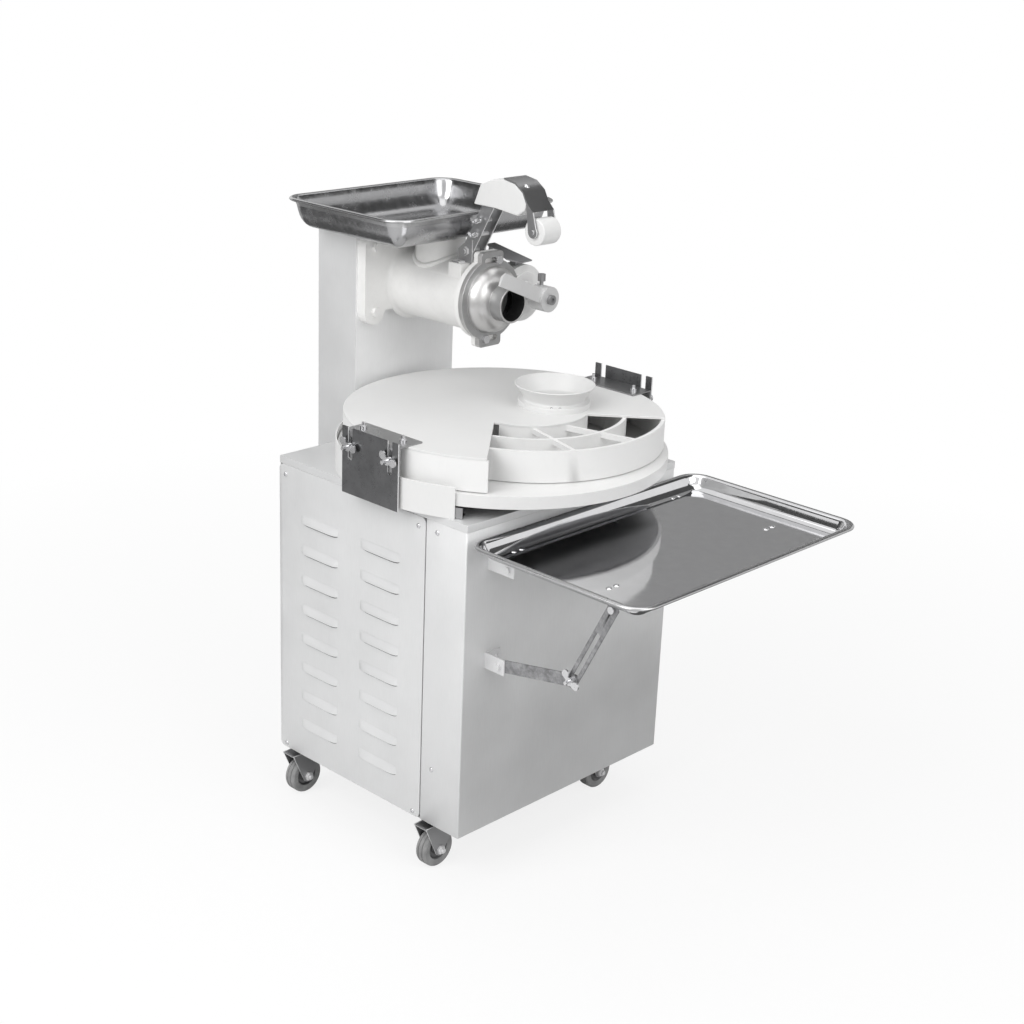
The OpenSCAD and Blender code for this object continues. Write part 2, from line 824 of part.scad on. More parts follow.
// Open pan with a turned rim, standing on the level z = 0
module pan(w, l, h) {
    inner_w = w - 2*pan_rim;
    inner_l = l - 2*pan_rim;
    corner = pan_corner - pan_rim;
    difference() {
        union() {
            pan_solid(inner_w, inner_l, h, pan_lean, corner);
            translate([-w/2, -l/2, h - 4]) linear_extrude(4) round_rect(w, l, pan_corner);
        }
        translate([0, 0, pan_wall])
            pan_solid(inner_w - 2*pan_wall, inner_l - 2*pan_wall, h, pan_lean, corner - pan_wall);
    }
}

module hopper() {
    color("silver") placed() difference() {
        translate([head_x, hopper_y, hopper_floor_z]) pan(hopper_w, hopper_l, hopper_h);
        rod_z(throat_r, hopper_floor_z - cut, hopper_floor_z + pan_wall + cut, head_x, throat_y);
    }
}

module nozzle() {
    tube_end = nozzle_len - nozzle_tube;
    mouth_r = nozzle_r - nozzle_wall;
    color("silver") placed() difference() {
        union() {
            front_plate(flange_y, nozzle_flange_t) {
                translate([head_x, axis_z]) circle(nozzle_flange_r);
                lug_outline();
            }
            translate([head_x, flange_y, axis_z]) rotate([90, 0, 0]) rotate_extrude()
                polygon(concat([[0, 0]],
                    [for (a = [0:7.5:90]) [nozzle_r + (dome_r - nozzle_r)*cos(a), tube_end*sin(a)]],
                    [[nozzle_r, nozzle_len], [0, nozzle_len]]));
        }
        translate([head_x, flange_y, axis_z]) rotate([90, 0, 0]) rotate_extrude()
            polygon([[0, -nozzle_flange_t - cut], [bore_r, -nozzle_flange_t - cut], [bore_r, 0],
                [mouth_r, tube_end - nozzle_wall], [mouth_r, nozzle_len + cut], [0, nozzle_len + cut]]);
        for (z = [axis_z - lug_bolt_z, axis_z + lug_bolt_z])
            front_plate(flange_y - cut, nozzle_flange_t + 2*cut)
                polygon(slot_points([head_x - lug_slot, z], [head_x + lug_slot, z], lug_hole_r));
    }
}

module cutter_housing() {
    color("whitesmoke") placed() difference() {
        union() {
            rod_y(housing_r, housing_y, housing_y + housing_len, knife_x, axis_z);
            rod_y(housing_r - 14, housing_y - 5, housing_y, knife_x, axis_z);
            rod_y(knife_shaft_r + 12, housing_y - 9, housing_y - 5, knife_x, axis_z);
        }
        rod_y(nozzle_flange_r + clear, flange_y - clear, barrel_y + nozzle_flange_t + clear, head_x, axis_z);
        rod_y(dome_r + clear, housing_y - 10, flange_y, head_x, axis_z);
        rod_y(barrel_r, barrel_y, housing_y + housing_len + cut, head_x, axis_z);
        rod_y(knife_shaft_r + run, housing_y - 20, housing_y + housing_len + cut, knife_x, axis_z);
    }
}

// Sloping plate over the cutter's shaft, with its block on the housing and its leg on the barrel
module cutter_guard() {
    guard_y = housing_y - 11;
    guard_z = axis_z + housing_r + 7;
    slope = 17;
    leg_out = 78;
    leg_y = guard_y + leg_out;
    leg_top_z = guard_z + leg_out*tan(slope) + 2;
    color("gray") placed() {
        translate([knife_x, guard_y, guard_z]) rotate([slope, 0, 0]) linear_extrude(bracket_t)
            polygon([[-43, 22], [-25, 0], [12, 2], [-14, 88], [-37, 88]]);
        difference() {
            block([knife_x - 16, housing_y + 10, axis_z + housing_r - 6],
                [knife_x + 4, housing_y + 26, guard_z + 8]);
            rod_y(housing_r, housing_y - cut, housing_y + housing_len, knife_x, axis_z);
        }
        difference() {
            block([knife_x - 34, leg_y, axis_z + 20], [knife_x - 18, leg_y + bracket_t, leg_top_z]);
            rod_y(barrel_r, leg_y - cut, leg_y + 2*bracket_t, head_x, axis_z);
        }
    }
}

module auger_bearing() {
    color("darkgray") placed() difference() {
        rod_y(bush_r - 0.02, back_y - rear_flange_t, back_y, head_x, axis_z);
        rod_y(auger_shaft_r + run, back_y - rear_flange_t - cut, back_y + cut, head_x, axis_z);
    }
}

// Screw of one continuous flight on a core, with its shaft into the gear motor
module auger() {
    y0 = barrel_y + 8;
    y1 = back_y - rear_flange_t - 4;
    len = y1 - y0;
    color("silver") placed() {
        translate([head_x, y1, axis_z]) rotate([90, 0, 0])
            linear_extrude(len, twist = -360*len/auger_pitch, slices = 72, $fn = 8)
                translate([auger_shaft_r, -flight_t/2]) square([auger_r - auger_shaft_r, flight_t]);
        rod_y(core_r, y0, y1, head_x, axis_z);
        rod_y(auger_shaft_r, y0, back_y + sheet + auger_box[1] - 6, head_x, axis_z);
    }
}

// Geared motor hanging in the column, with a hollow output at its top
module column_gearmotor(x, box, motor_r, motor_len, shaft_r) {
    y0 = back_y + sheet;
    mid = y0 + box[1]/2;
    difference() {
        union() {
            block([x - box[0]/2, y0, axis_z - box[2]/2], [x + box[0]/2, y0 + box[1], axis_z + box[2]/2]);
            rod_z(motor_r, axis_z - box[2]/2 - motor_len, axis_z - box[2]/2, x, mid);
            rod_z(motor_r - 6, axis_z - box[2]/2 - motor_len - 14, axis_z - box[2]/2 - motor_len, x, mid);
        }
        rod_y(shaft_r + run, y0 - cut, y0 + box[1] + cut, x, axis_z);
    }
}

module auger_gearmotor() {
    color("steelblue") placed()
        column_gearmotor(head_x, auger_box, auger_motor_r, auger_motor_len, auger_shaft_r);
}

module knife_gearmotor() {
    color("steelblue") placed()
        column_gearmotor(knife_x, knife_box, knife_motor_r, knife_motor_len, knife_shaft_r);
}

module knife_shaft() {
    color("silver") placed()
        rod_y(knife_shaft_r, hub_front_y + hub_face, back_y + sheet + knife_box[1] - 6, knife_x, axis_z);
}

module knife_hub() {
    color("silver") placed() difference() {
        rod_y(hub_r, hub_front_y, hub_front_y + hub_len, knife_x, axis_z);
        rod_y(knife_shaft_r + 0.02, hub_front_y + hub_face, hub_front_y + hub_len + cut, knife_x, axis_z);
        rod_y(6, hub_front_y - cut, hub_front_y + hub_face + cut, knife_x, axis_z);
        blade_bar(0.02);
        rod_z(4.2, axis_z, axis_z + hub_r + cut, knife_x, thumb_y);
    }
}

// Blade bar with its root let into the hub, grown by a seat clearance
module blade_bar(grow) {
    root = hub_r*0.45;
    half = blade_w/2;
    front_plate(blade_y - grow, blade_t + 2*grow) translate([knife_x, axis_z]) rotate(180 - blade_angle)
        polygon([[root - grow, -half - grow], [knife_r - 6, -half - grow], [knife_r, -half + 8],
            [knife_r, half + grow], [root - grow, half + grow]]);
}

module knife_blade() {
    color("silver") placed() difference() {
        blade_bar(0);
        rod_y(knife_shaft_r + 0.02, blade_y - cut, blade_y + blade_t + cut, knife_x, axis_z);
    }
}

module knife_screws() {
    color("gray") placed() {
        rod_z(4, axis_z + knife_shaft_r + 0.2, axis_z + hub_r + 8, knife_x, thumb_y);
        rod_z(8, axis_z + hub_r + 8, axis_z + hub_r + 22, knife_x, thumb_y);
        rod_y(5.8, hub_front_y - cut, hub_front_y + hub_face, knife_x, axis_z);
        difference() {
            rod_y(10, hub_front_y - 7, hub_front_y, knife_x, axis_z);
            translate([knife_x, hub_front_y - 3, axis_z]) rotate([90, 0, 0]) cylinder(r = 5, h = 10, $fn = 6);
        }
    }
}

module arm_bracket() {
    half = bracket_w/2;
    color("gray") placed() {
        both_about(arm_x) {
            cross_plate(arm_x - half, bracket_t) difference() {
                polygon([[pivot[0] - 16, pad_z], [pivot[0] + 22, pad_z], [pivot[0] + 22, pivot[1] + 2],
                    [pivot[0] + 8, pivot[1] + 14], [pivot[0] - 16, pivot[1] + 24]]);
                translate(pivot) circle(arm_pin_r - 1);
            }
            difference() {
                block([arm_x - half - foot_len, pivot[0] + 2, pad_z],
                    [arm_x - half, pivot[0] + 22, pad_z + bracket_t]);
                rod_z(3.5, pad_z - cut, pad_z + bracket_t + cut, arm_x - half - foot_len/2, pivot[0] + 12);
            }
        }
        block([arm_x - half, pivot[0] + 10, pad_z], [arm_x + half, pivot[0] + 22, pad_z + bracket_t]);
        rod_x(arm_pin_r, arm_x - half - 9, arm_x + half + 9, pivot[0], pivot[1]);
        for (x = [arm_x - half - 6, arm_x + half])
            translate([x, pivot[0], pivot[1]]) rotate([0, 90, 0]) cylinder(r = 9, h = 6, $fn = 6);
    }
}

// A piece and its mirror image about an upright plane across the machine
module both_about(x) {
    children();
    translate([2*x, 0, 0]) mirror([1, 0, 0]) children();
}

module arm_legs() {
    inner = bracket_w/2 - bracket_t - clear;
    d = (leg_top - pivot)/norm(leg_top - pivot);
    n = [d[1], -d[0]];
    turn = atan2(d[1], d[0]);
    top_half = 16;
    pins = [pivot + d*44 - n*4, pivot + d*72 + n*4];
    color("gray") placed() {
        both_about(arm_x) cross_plate(arm_x - inner, leg_t) difference() {
            polygon(concat([for (i = [0:12]) pivot + leg_w/2*[cos(turn + 90 + 15*i), sin(turn + 90 + 15*i)]],
                [[leg_top[0] + top_half, block_bottom], [leg_top[0] - top_half, block_bottom]]));
            translate(pivot) circle(arm_pin_r + run);
        }
        for (p = pins)
            rod_x(4, arm_x - inner - 8, arm_x + inner + 8, p[0], p[1]);
        block([arm_x - inner, leg_top[0] - top_half, block_bottom - leg_t],
            [arm_x + inner, leg_top[0] + top_half, block_bottom]);
    }
}

module duster_block() {
    color("white") placed() cross_plate(arm_x - duster_w/2, duster_w) polygon(duster_side);
}

// Strap bent over the front of the block and down to the roller's fork
module roller_strap() {
    half = duster_w/2;
    t = bracket_t;
    over = [for (i = [3:6]) duster_side[i]];
    outer = [for (i = [0:3]) over[i] + t*[i < 2 ? -0.2 : -0.8, i < 2 ? 1 : 0.62]];
    bend_out = strap_bend + [-t, 1];
    color("dimgray") placed() {
        cross_plate(arm_x - half, duster_w) polygon(concat(over, [strap_bend],
            [bend_out], [for (i = [3:-1:0]) outer[i]]));
        both_about(arm_x) cross_plate(arm_x - half, t) {
            polygon([strap_bend, bend_out, roller_at + [-eye_r, -3], roller_at + [eye_r, -3], over[3]]);
            translate(roller_at) circle(eye_r);
        }
        rod_x(arm_pin_r, arm_x - half - 3, arm_x + half + 3, roller_at[0], roller_at[1]);
    }
}

module roller() {
    color("white") placed() difference() {
        rod_x(roller_r, arm_x - roller_len/2, arm_x + roller_len/2, roller_at[0], roller_at[1]);
        rod_x(arm_pin_r + run, arm_x - roller_len, arm_x + roller_len, roller_at[0], roller_at[1]);
    }
}

// Both clamps of the track, one on each side, set off from the middle in opposite directions
module both_clamps() {
    for (a = [0, 180])
        translate([0, -disc_y, 0]) rotate(a) translate([0, clamp_shift, 0]) children();
}

// Fixed plate with two slots open at the top, packed out from the guard skirt
module clamp_plate(high) {
    translate([0, clamp_shift, 0]) cross_plate(-plate_out, plate_t) difference() {
        translate([-clamp_w/2, plate_bottom_z]) square([clamp_w, high - plate_bottom_z]);
        for (y = [-1, 1])
            polygon(slot_points([y*stud_gap/2, slot_bottom_z + slot_w/2], [y*stud_gap/2, 2*high], slot_w/2));
    }
    difference() {
        translate([0, clamp_shift, 0]) block([-plate_in, -clamp_w/2 + 10, plate_bottom_z + 8],
            [-skirt_r + 30, clamp_w/2 - 10, plate_bottom_z + 28]);
        cylinder(r = skirt_out, h = 2*top_z);
    }
}

module clamp_plates() {
    color("dimgray") placed() translate([0, -disc_y, 0]) {
        clamp_plate(plate_top_z);
        rotate(180) clamp_plate(plate_top_z + clamp_raise);
    }
}

module guard_skirt() {
    color("white") placed() translate([0, -disc_y, top_z]) rotate(skirt_from)
        rotate_extrude(angle = skirt_to - skirt_from) translate([skirt_r, 0]) square([skirt_t, skirt_h]);
}

module spindle_bearing() {
    color("darkgray") placed() difference() {
        union() {
            rod_z(spindle_r + 50, top_z, top_z + 8, 0, -disc_y);
            rod_z(spindle_r + 25, top_z - angle_t, turn_z - turntable_t - 7, 0, -disc_y);
        }
        rod_z(spindle_r + run, top_z - 2*angle_t, turn_z, 0, -disc_y);
    }
}

module turntable_gearmotor() {
    z1 = top_z - angle_t;
    z0 = z1 - turn_box[2];
    motor_y = -disc_y + turn_box[1]/2;
    color("steelblue") placed() difference() {
        union() {
            block([-turn_box[0]/2, -disc_y - turn_box[1]/2, z0], [turn_box[0]/2, motor_y, z1]);
            rod_y(turn_motor_r, motor_y, motor_y + turn_motor_len, 0, z0 + turn_motor_r - 20);
        }
        rod_z(spindle_r + run, z0 - cut, z1 + cut, 0, -disc_y);
    }
}

module turntable() {
    color("white") placed() rod_z(turntable_r, turn_z - turntable_t, turn_z, 0, -disc_y);
}

module turntable_spindle() {
    color("silver") placed() {
        rod_z(spindle_r, top_z - angle_t - turn_box[2] + 6, turn_z - turntable_t, 0, -disc_y);
        rod_z(spindle_r + 40, turn_z - turntable_t - 6, turn_z - turntable_t, 0, -disc_y);
    }
}

// Radius of the outside of the wall inside the window, between two rings
function wall_r(inner, angle) =
    inner + track_pitch*(min(max(angle, window_from), window_to) - window_from)/(window_to - window_from);

// Steps of angle across the window
function window_steps() = [for (i = [0:24]) window_from + i*(window_to - window_from)/24];

function polar(r, a) = [r*cos(a), r*sin(a)];

// One full turn of the wall: outwards across the window, let into the rings, then round at a constant radius
module wall_turn(inner) {
    outer = inner + track_pitch;
    steps = concat([window_from - wall_lap], window_steps(), [window_to + wall_lap]);
    last = len(steps) - 1;
    translate([0, 0, track_z]) linear_extrude(wall_top_z - track_z) polygon(concat(
        [for (a = steps) polar(wall_r(inner, a) - wall_inset, a)],
        [for (i = [last:-1:0]) polar(wall_r(inner, steps[i]) - track_wall + wall_inset, steps[i])]));
    translate([0, 0, track_z]) rotate(window_to) rotate_extrude(angle = 360 - window_to + window_from)
        translate([outer - track_wall, 0]) square([track_wall, wall_top_z - track_z]);
}

module track_spiral() {
    color("white") placed() translate([0, -disc_y, 0]) {
        for (inner = [ring_0, ring_1, ring_2])
            wall_turn(inner);
        for (a = rib_angles)
            rotate(a) translate([wall_r(ring_0, a) - track_wall/2, -rib_w/2, wall_top_z - rib_h - 1])
                cube([2*track_pitch, rib_w, rib_h]);
    }
}

module track_cover() {
    far = cover_r + track_pitch;
    color("white") placed() difference() {
        rod_z(cover_r, wall_top_z, cover_z, 0, -disc_y);
        translate([0, -disc_y, wall_top_z - cut]) linear_extrude(cover_t + 2*cut) polygon(concat(
            [polar(ring_0, window_from - window_skew)],
            [for (a = window_steps()) polar(wall_r(ring_0, a), a)],
            [for (i = [24:-1:0]) polar(far, window_steps()[i])]));
        rod_z(funnel_neck_r - funnel_wall, wall_top_z - cut, cover_z + cut, funnel_at[0], funnel_at[1]);
    }
}

module funnel() {
    w = funnel_wall;
    neck = funnel_neck_r;
    foot = 12;
    foot_h = 12;
    color("white") placed() translate([funnel_at[0], funnel_at[1], cover_z]) rotate_extrude()
        polygon([[neck - w, 0], [neck + foot, 0], [neck + foot, foot_h], [neck, foot_h],
            [neck, foot_h + w], [funnel_r, funnel_h], [funnel_r - w, funnel_h], [neck - w, foot_h + w]]);
}

module track_brackets() {
    color("dimgray") placed() both_clamps() {
        block([-leg_in - plate_t, -clamp_w/2, cover_z], [-flange_in, clamp_w/2, cover_z + plate_t]);
        block([-leg_in - plate_t, -clamp_w/2, leg_bottom_z], [-leg_in, clamp_w/2, cover_z + plate_t]);
    }
}

// Wing nut on a stud that points to the left
module wing_nut(x, y, z, tilt) {
    rod_x(8, x - wing_t, x, y, z);
    translate([x - wing_t, y, z]) rotate([tilt, 0, 0]) cross_plate(0, 3)
        for (s = [-1, 1])
            translate([s*15, 5]) circle(8);
    translate([x - wing_t, y, z]) rotate([tilt, 0, 0]) block([0, -16, -3], [3, 16, 5]);
}

module track_studs() {
    color("silver") placed() both_clamps() for (y = [-1, 1]) {
        rod_x(stud_r, -stud_end, -leg_in - plate_t, y*stud_gap/2, stud_z);
        wing_nut(-plate_out - clear, y*stud_gap/2, stud_z, 20);
        rod_z(7, cover_z + plate_t, cover_z + plate_t + 5, -bolt_ring_x, y*stud_gap/2);
        rod_z(3.5, cover_z + plate_t, cover_z + plate_t + 12, -bolt_ring_x, y*stud_gap/2);
    }
}

module front_tray() {
    color("silver") placed() translate([0, (tray_front_y + tray_back_y)/2, tray_floor_z])
        pan(tray_w, tray_l, tray_h);
}

// Lug under the tray with an eye for a pin, at one place of the plane across the machine
module tray_lug(x, at, hole_r) {
    cross_plate(x, strap_t) difference() {
        union() {
            translate([at[0] - lug_r, at[1]]) square([2*lug_r, tray_floor_z - at[1]]);
            translate(at) circle(lug_r);
        }
        translate(at) circle(hole_r);
    }
    block([x, at[0] - lug_r, tray_floor_z - strap_t], [x + 30, at[0] + lug_r, tray_floor_z]);
}

// Layers of the strut on the left, from the bracket inwards
layer_1 = -tray_side_x + strap_t + clear;
layer_2 = layer_1 + strap_t + clear;
layer_3 = layer_2 + strap_t + clear;

module tray_lugs() {
    color("silver") placed() {
        both_sides() {
            tray_lug(layer_1, hinge_at, tray_pin_r + run);
            tray_lug(layer_3, strut_at, tray_pin_r);
        }
        rod_x(tray_pin_r, layer_2 - 6, layer_3 + strap_t + 5, strut_at[0], strut_at[1]);
        rod_x(7, layer_2 - 6, layer_2 - clear, strut_at[0], strut_at[1]);
    }
}

// Bracket on the cabinet's front, with a flange that holds a pin
module tray_bracket(at, reach, h) {
    cross_plate(-tray_side_x, strap_t) translate([at[0] - 16, at[1] - h/2]) square([reach + 16, h]);
    block([-tray_side_x, -back_y - strap_t, at[1] - h/2], [-tray_side_x + 40, -back_y, at[1] + h/2]);
    rod_x(tray_pin_r, -tray_side_x, layer_1 + strap_t + 6, at[0], at[1]);
    rod_x(7, -tray_side_x - 5, -tray_side_x, at[0], at[1]);
    rod_x(7, layer_1 + strap_t + clear, layer_1 + strap_t + 6, at[0], at[1]);
    rod_y(6, -back_y - strap_t - 4, -back_y - strap_t, -tray_side_x + 28, at[1]);
}

module tray_brackets() {
    color("lightgray") placed() {
        both_sides() tray_bracket(hinge_at, hinge_out, 26);
        tray_bracket(lower_at, lower_out, 32);
    }
}

module tray_lower_arm() {
    color("gray") placed() {
        cross_plate(layer_1, strap_t) difference() {
            round_bar(lower_at, stud_at, arm_w);
            translate(lower_at) circle(tray_pin_r + run);
        }
        rod_x(tray_pin_r, layer_1 - 18, layer_2 + strap_t + clear + 5, stud_at[0], stud_at[1]);
        rod_x(8.5, layer_2 + strap_t + clear, layer_2 + strap_t + clear + 5, stud_at[0], stud_at[1]);
        wing_nut(layer_1, stud_at[0], stud_at[1], 35);
    }
}

module tray_slotted_arm() {
    slot_top = stud_at - strut_dir*slot_len;
    color("gray") placed() cross_plate(layer_2, strap_t) difference() {
        polygon(slot_points(strut_at, stud_at + strut_dir*6, arm_w/2));
        polygon(slot_points(slot_top, stud_at, slot_half));
        translate(strut_at) circle(tray_pin_r + run);
    }
}

module control_box() {
    color("gainsboro") placed() difference() {
        block([box_x, box_y - box_w/2, box_z], [box_x + box_d, box_y + box_w/2, box_z + box_h]);
        block([box_x + sheet, box_y - box_w/2 + sheet, box_z + sheet],
            [box_x + box_d - box_face_t, box_y + box_w/2 - sheet, box_z + box_h - sheet]);
        for (y = button_y)
            rod_x(button_r + run, box_x + sheet + cut, box_x + box_d + cut, y, button_z);
        rod_x(knob_shaft_r + run, box_x + sheet + cut, box_x + box_d + cut, knob_y, button_z);
    }
}

// Push button through the face of the control box
module button(y) {
    x1 = box_x + box_d + button_out;
    placed() rod_x(button_r, x1 - button_len, x1, y, button_z);
}

module start_button() {
    color("green") button(button_y[0]);
}

module stop_button() {
    color("red") button(button_y[1]);
}

module speed_knob() {
    color("black") placed() {
        rod_x(knob_r, box_x + box_d + clear, box_x + box_d + clear + knob_h, knob_y, button_z);
        rod_x(knob_shaft_r, box_x + box_d - 16, box_x + box_d + clear, knob_y, button_z);
        block([box_x + box_d + knob_h, knob_y - 2, button_z],
            [box_x + box_d + clear + knob_h + 1.5, knob_y + 2, button_z + knob_r]);
    }
}

module cable_gland() {
    color("black") placed() difference() {
        union() {
            rod_y(gland_r + 3, frame_y - 6, back_y + 4, gland_x(), gland_z());
            translate([gland_x(), back_y + 8, gland_z()]) rotate([90, 0, 0])
                cylinder(r = gland_r + 8, h = 8, $fn = 6);
            rod_y(gland_r + 5, back_y + 8, back_y + 24, gland_x(), gland_z());
        }
        rod_y(gland_r, frame_y - 8, back_y + 24 + cut, gland_x(), gland_z());
    }
}

frame();
base_plate();
top_plate();
front_panel();
left_panel();
right_panel();
back_panel();
panel_screws();
castor_plates();
column_shell();
column_cover();
barrel();
head_bolts();
hopper();
nozzle();
cutter_housing();
cutter_guard();
auger_bearing();
arm_bracket();
clamp_plates();
guard_skirt();
spindle_bearing();
turntable_gearmotor();
auger_gearmotor();
knife_gearmotor();
tray_brackets();
control_box();
cable_gland();
track_cover();
track_spiral();
funnel();
track_brackets();
track_studs();
turntable();
turntable_spindle();
auger();
knife_shaft();
knife_hub();
knife_blade();
knife_screws();
arm_legs();
duster_block();
roller_strap();
roller();
front_tray();
tray_lugs();
tray_lower_arm();
tray_slotted_arm();
castor_fork_fl();
castor_fork_fr();
castor_fork_bl();
castor_fork_br();
castor_wheel_fl();
castor_wheel_fr();
castor_wheel_bl();
castor_wheel_br();
start_button();
stop_button();
speed_knob();
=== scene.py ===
"""Looks of the dough divider and rounder.

Materials for every node, pieces in mesh code (pans, castors, louvres, sheets, funnel, fasteners,
weld beads), and the studio with its camera.
"""

import json
import math

import bmesh
import bpy
from mathutils import Matrix, Vector

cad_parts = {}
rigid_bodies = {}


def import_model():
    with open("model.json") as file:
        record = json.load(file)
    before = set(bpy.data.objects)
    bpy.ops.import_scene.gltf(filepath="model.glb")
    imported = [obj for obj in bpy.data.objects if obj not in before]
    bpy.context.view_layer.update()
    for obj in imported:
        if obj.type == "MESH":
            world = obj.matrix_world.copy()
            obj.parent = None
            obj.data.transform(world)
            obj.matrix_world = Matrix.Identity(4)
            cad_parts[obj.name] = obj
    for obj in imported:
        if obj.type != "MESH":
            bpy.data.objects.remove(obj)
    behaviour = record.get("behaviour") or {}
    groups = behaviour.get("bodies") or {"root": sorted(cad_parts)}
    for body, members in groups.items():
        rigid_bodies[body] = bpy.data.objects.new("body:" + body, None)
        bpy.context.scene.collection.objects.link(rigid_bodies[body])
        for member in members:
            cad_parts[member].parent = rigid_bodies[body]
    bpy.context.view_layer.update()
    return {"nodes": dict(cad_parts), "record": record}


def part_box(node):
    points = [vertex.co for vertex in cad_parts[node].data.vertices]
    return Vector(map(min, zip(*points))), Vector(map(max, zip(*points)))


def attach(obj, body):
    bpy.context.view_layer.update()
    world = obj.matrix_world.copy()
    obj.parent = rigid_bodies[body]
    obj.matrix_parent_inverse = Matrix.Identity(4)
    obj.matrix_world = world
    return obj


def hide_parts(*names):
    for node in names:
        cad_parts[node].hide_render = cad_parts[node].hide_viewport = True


for old in list(bpy.data.objects):
    bpy.data.objects.remove(old)

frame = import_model()
nodes = frame["nodes"]
scene = bpy.context.scene

# Offset from the cabinet's middle, used for the machine's own sizes, to the row frame
low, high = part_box("top_plate")
MID_Y = 500 * (low[1] + high[1])

# Axes of the machine in millimetres: the feed barrel, its throat and the turntable
BARREL_X, BARREL_Z = 40, 1075
THROAT_Y = 170
DISC_Y = -66

FULL_TURN = 2 * math.pi
UP = (0, 0, 1)
WHITE = (1, 1, 1)


def P(x, y, z):
    """A place in millimetres, from the cabinet's middle and the floor, in the row frame."""
    return Vector((x / 1000, (y + MID_Y) / 1000, z / 1000))


# Materials


class Graph:
    """A node material under construction, with its textures in object coordinates."""

    def __init__(self, name):
        self.mat = bpy.data.materials.new(name)
        self.mat.use_nodes = True
        self.tree = self.mat.node_tree
        self.bsdf = self.tree.nodes["Principled BSDF"]
        coord = self.tree.nodes.new("ShaderNodeTexCoord")
        self.coord = coord.outputs["Object"]

    def add(self, kind, inputs=None, **props):
        node = self.tree.nodes.new(kind)
        for key, value in props.items():
            setattr(node, key, value)
        for key, value in (inputs or {}).items():
            if isinstance(value, bpy.types.NodeSocket):
                self.tree.links.new(value, node.inputs[key])
            else:
                node.inputs[key].default_value = value
        return node

    def noise(self, scale, detail=4.0, rough=0.55, stretch=(1, 1, 1), distort=0.0):
        place = self.add("ShaderNodeMapping", {"Vector": self.coord, "Scale": stretch})
        inputs = {"Vector": place.outputs[0], "Scale": scale, "Detail": detail}
        inputs |= {"Roughness": rough, "Distortion": distort}
        return self.add("ShaderNodeTexNoise", inputs).outputs["Fac"]

    def spread(self, value, low, high, from_low=0.3, from_high=0.7):
        inputs = {"Value": value, "From Min": from_low, "From Max": from_high}
        inputs |= {"To Min": low, "To Max": high}
        return self.add("ShaderNodeMapRange", inputs).outputs[0]

    def tint(self, value, low, high):
        ramp = self.add("ShaderNodeValToRGB", {"Fac": value})
        ramp.color_ramp.elements[0].color = (*low, 1)
        ramp.color_ramp.elements[1].color = (*high, 1)
        return ramp.outputs[0]

    def mul(self, a, b):
        node = self.add("ShaderNodeMix", {"Factor": 1.0}, data_type="RGBA", blend_type="MULTIPLY")
        self.tree.links.new(a, node.inputs["A"])
        self.tree.links.new(b, node.inputs["B"])
        return node.outputs["Result"]

    def bump(self, *layers):
        """Relief from layers of (height, strength, distance), the first one below the others."""
        normal = None
        for value, strength, distance in layers:
            inputs = {"Height": value, "Strength": strength, "Distance": distance}
            node = self.add("ShaderNodeBump", inputs)
            if normal is not None:
                self.tree.links.new(normal, node.inputs["Normal"])
            normal = node.outputs[0]
        self.tree.links.new(normal, self.bsdf.inputs["Normal"])

    def link(self, value, socket):
        self.tree.links.new(value, self.bsdf.inputs[socket])

    def set(self, **sockets):
        for key, value in sockets.items():
            self.bsdf.inputs[key.replace("_", " ")].default_value = value


def scaled(colour, k):
    return tuple(min(1.0, c * k) for c in colour)


def brushed(name, colour, rough, metal, grain, depth=0.03):
    """Sheet or turned steel with fine grain across the stretch, smudges and faint scratches."""
    g = Graph(name)
    fine = g.noise(60, 3, 0.6, grain)
    smudge = g.noise(5.0, 5, 0.6)
    scratch = g.noise(22, 2, 0.4, tuple(s * 0.35 + 0.3 for s in grain), 1.5)
    base = g.tint(g.spread(smudge, 0, 1), scaled(colour, 0.95), scaled(colour, 1.04))
    g.link(g.mul(base, g.tint(g.spread(fine, 0, 1), scaled(WHITE, 0.94), WHITE)), "Base Color")
    g.link(g.spread(smudge, rough * 0.85, rough * 1.2), "Roughness")
    g.bump((fine, depth, 0.0006), (scratch, depth * 0.6, 0.0004))
    g.set(Metallic=metal)
    return g.mat


def polished(name, colour, rough):
    """Bright pressed sheet with a slight ripple, water marks and drawn lines."""
    g = Graph(name)
    ripple = g.noise(9, 2, 0.4)
    mark = g.noise(38, 6, 0.65)
    drawn = g.noise(30, 3, 0.5, (1, 14, 1))
    g.link(g.tint(g.spread(mark, 0, 1), scaled(colour, 0.93), colour), "Base Color")
    g.link(g.spread(mark, rough * 0.7, rough * 1.5), "Roughness")
    g.bump((ripple, 0.12, 0.002), (drawn, 0.02, 0.0005))
    g.set(Metallic=1.0)
    return g.mat


def plastic(name, colour, rough, depth=0.05, dirt=0.06):
    """Machined or moulded plastic with tool marks, a faint mottle and handling marks."""
    g = Graph(name)
    fine = g.noise(420, 3, 0.5)
    mottle = g.noise(7, 4, 0.55)
    mark = g.noise(34, 5, 0.7, (1, 2.5, 1), 0.8)
    base = g.tint(g.spread(mottle, 0, 1), scaled(colour, 1 - dirt), colour)
    handled = g.tint(g.spread(mark, 0, 1, 0.25, 0.5), scaled(WHITE, 1 - dirt), WHITE)
    g.link(g.mul(base, handled), "Base Color")
    g.link(g.spread(mark, rough * 0.85, rough * 1.15), "Roughness")
    g.bump((fine, depth, 0.0004), (mottle, depth, 0.001))
    return g.mat


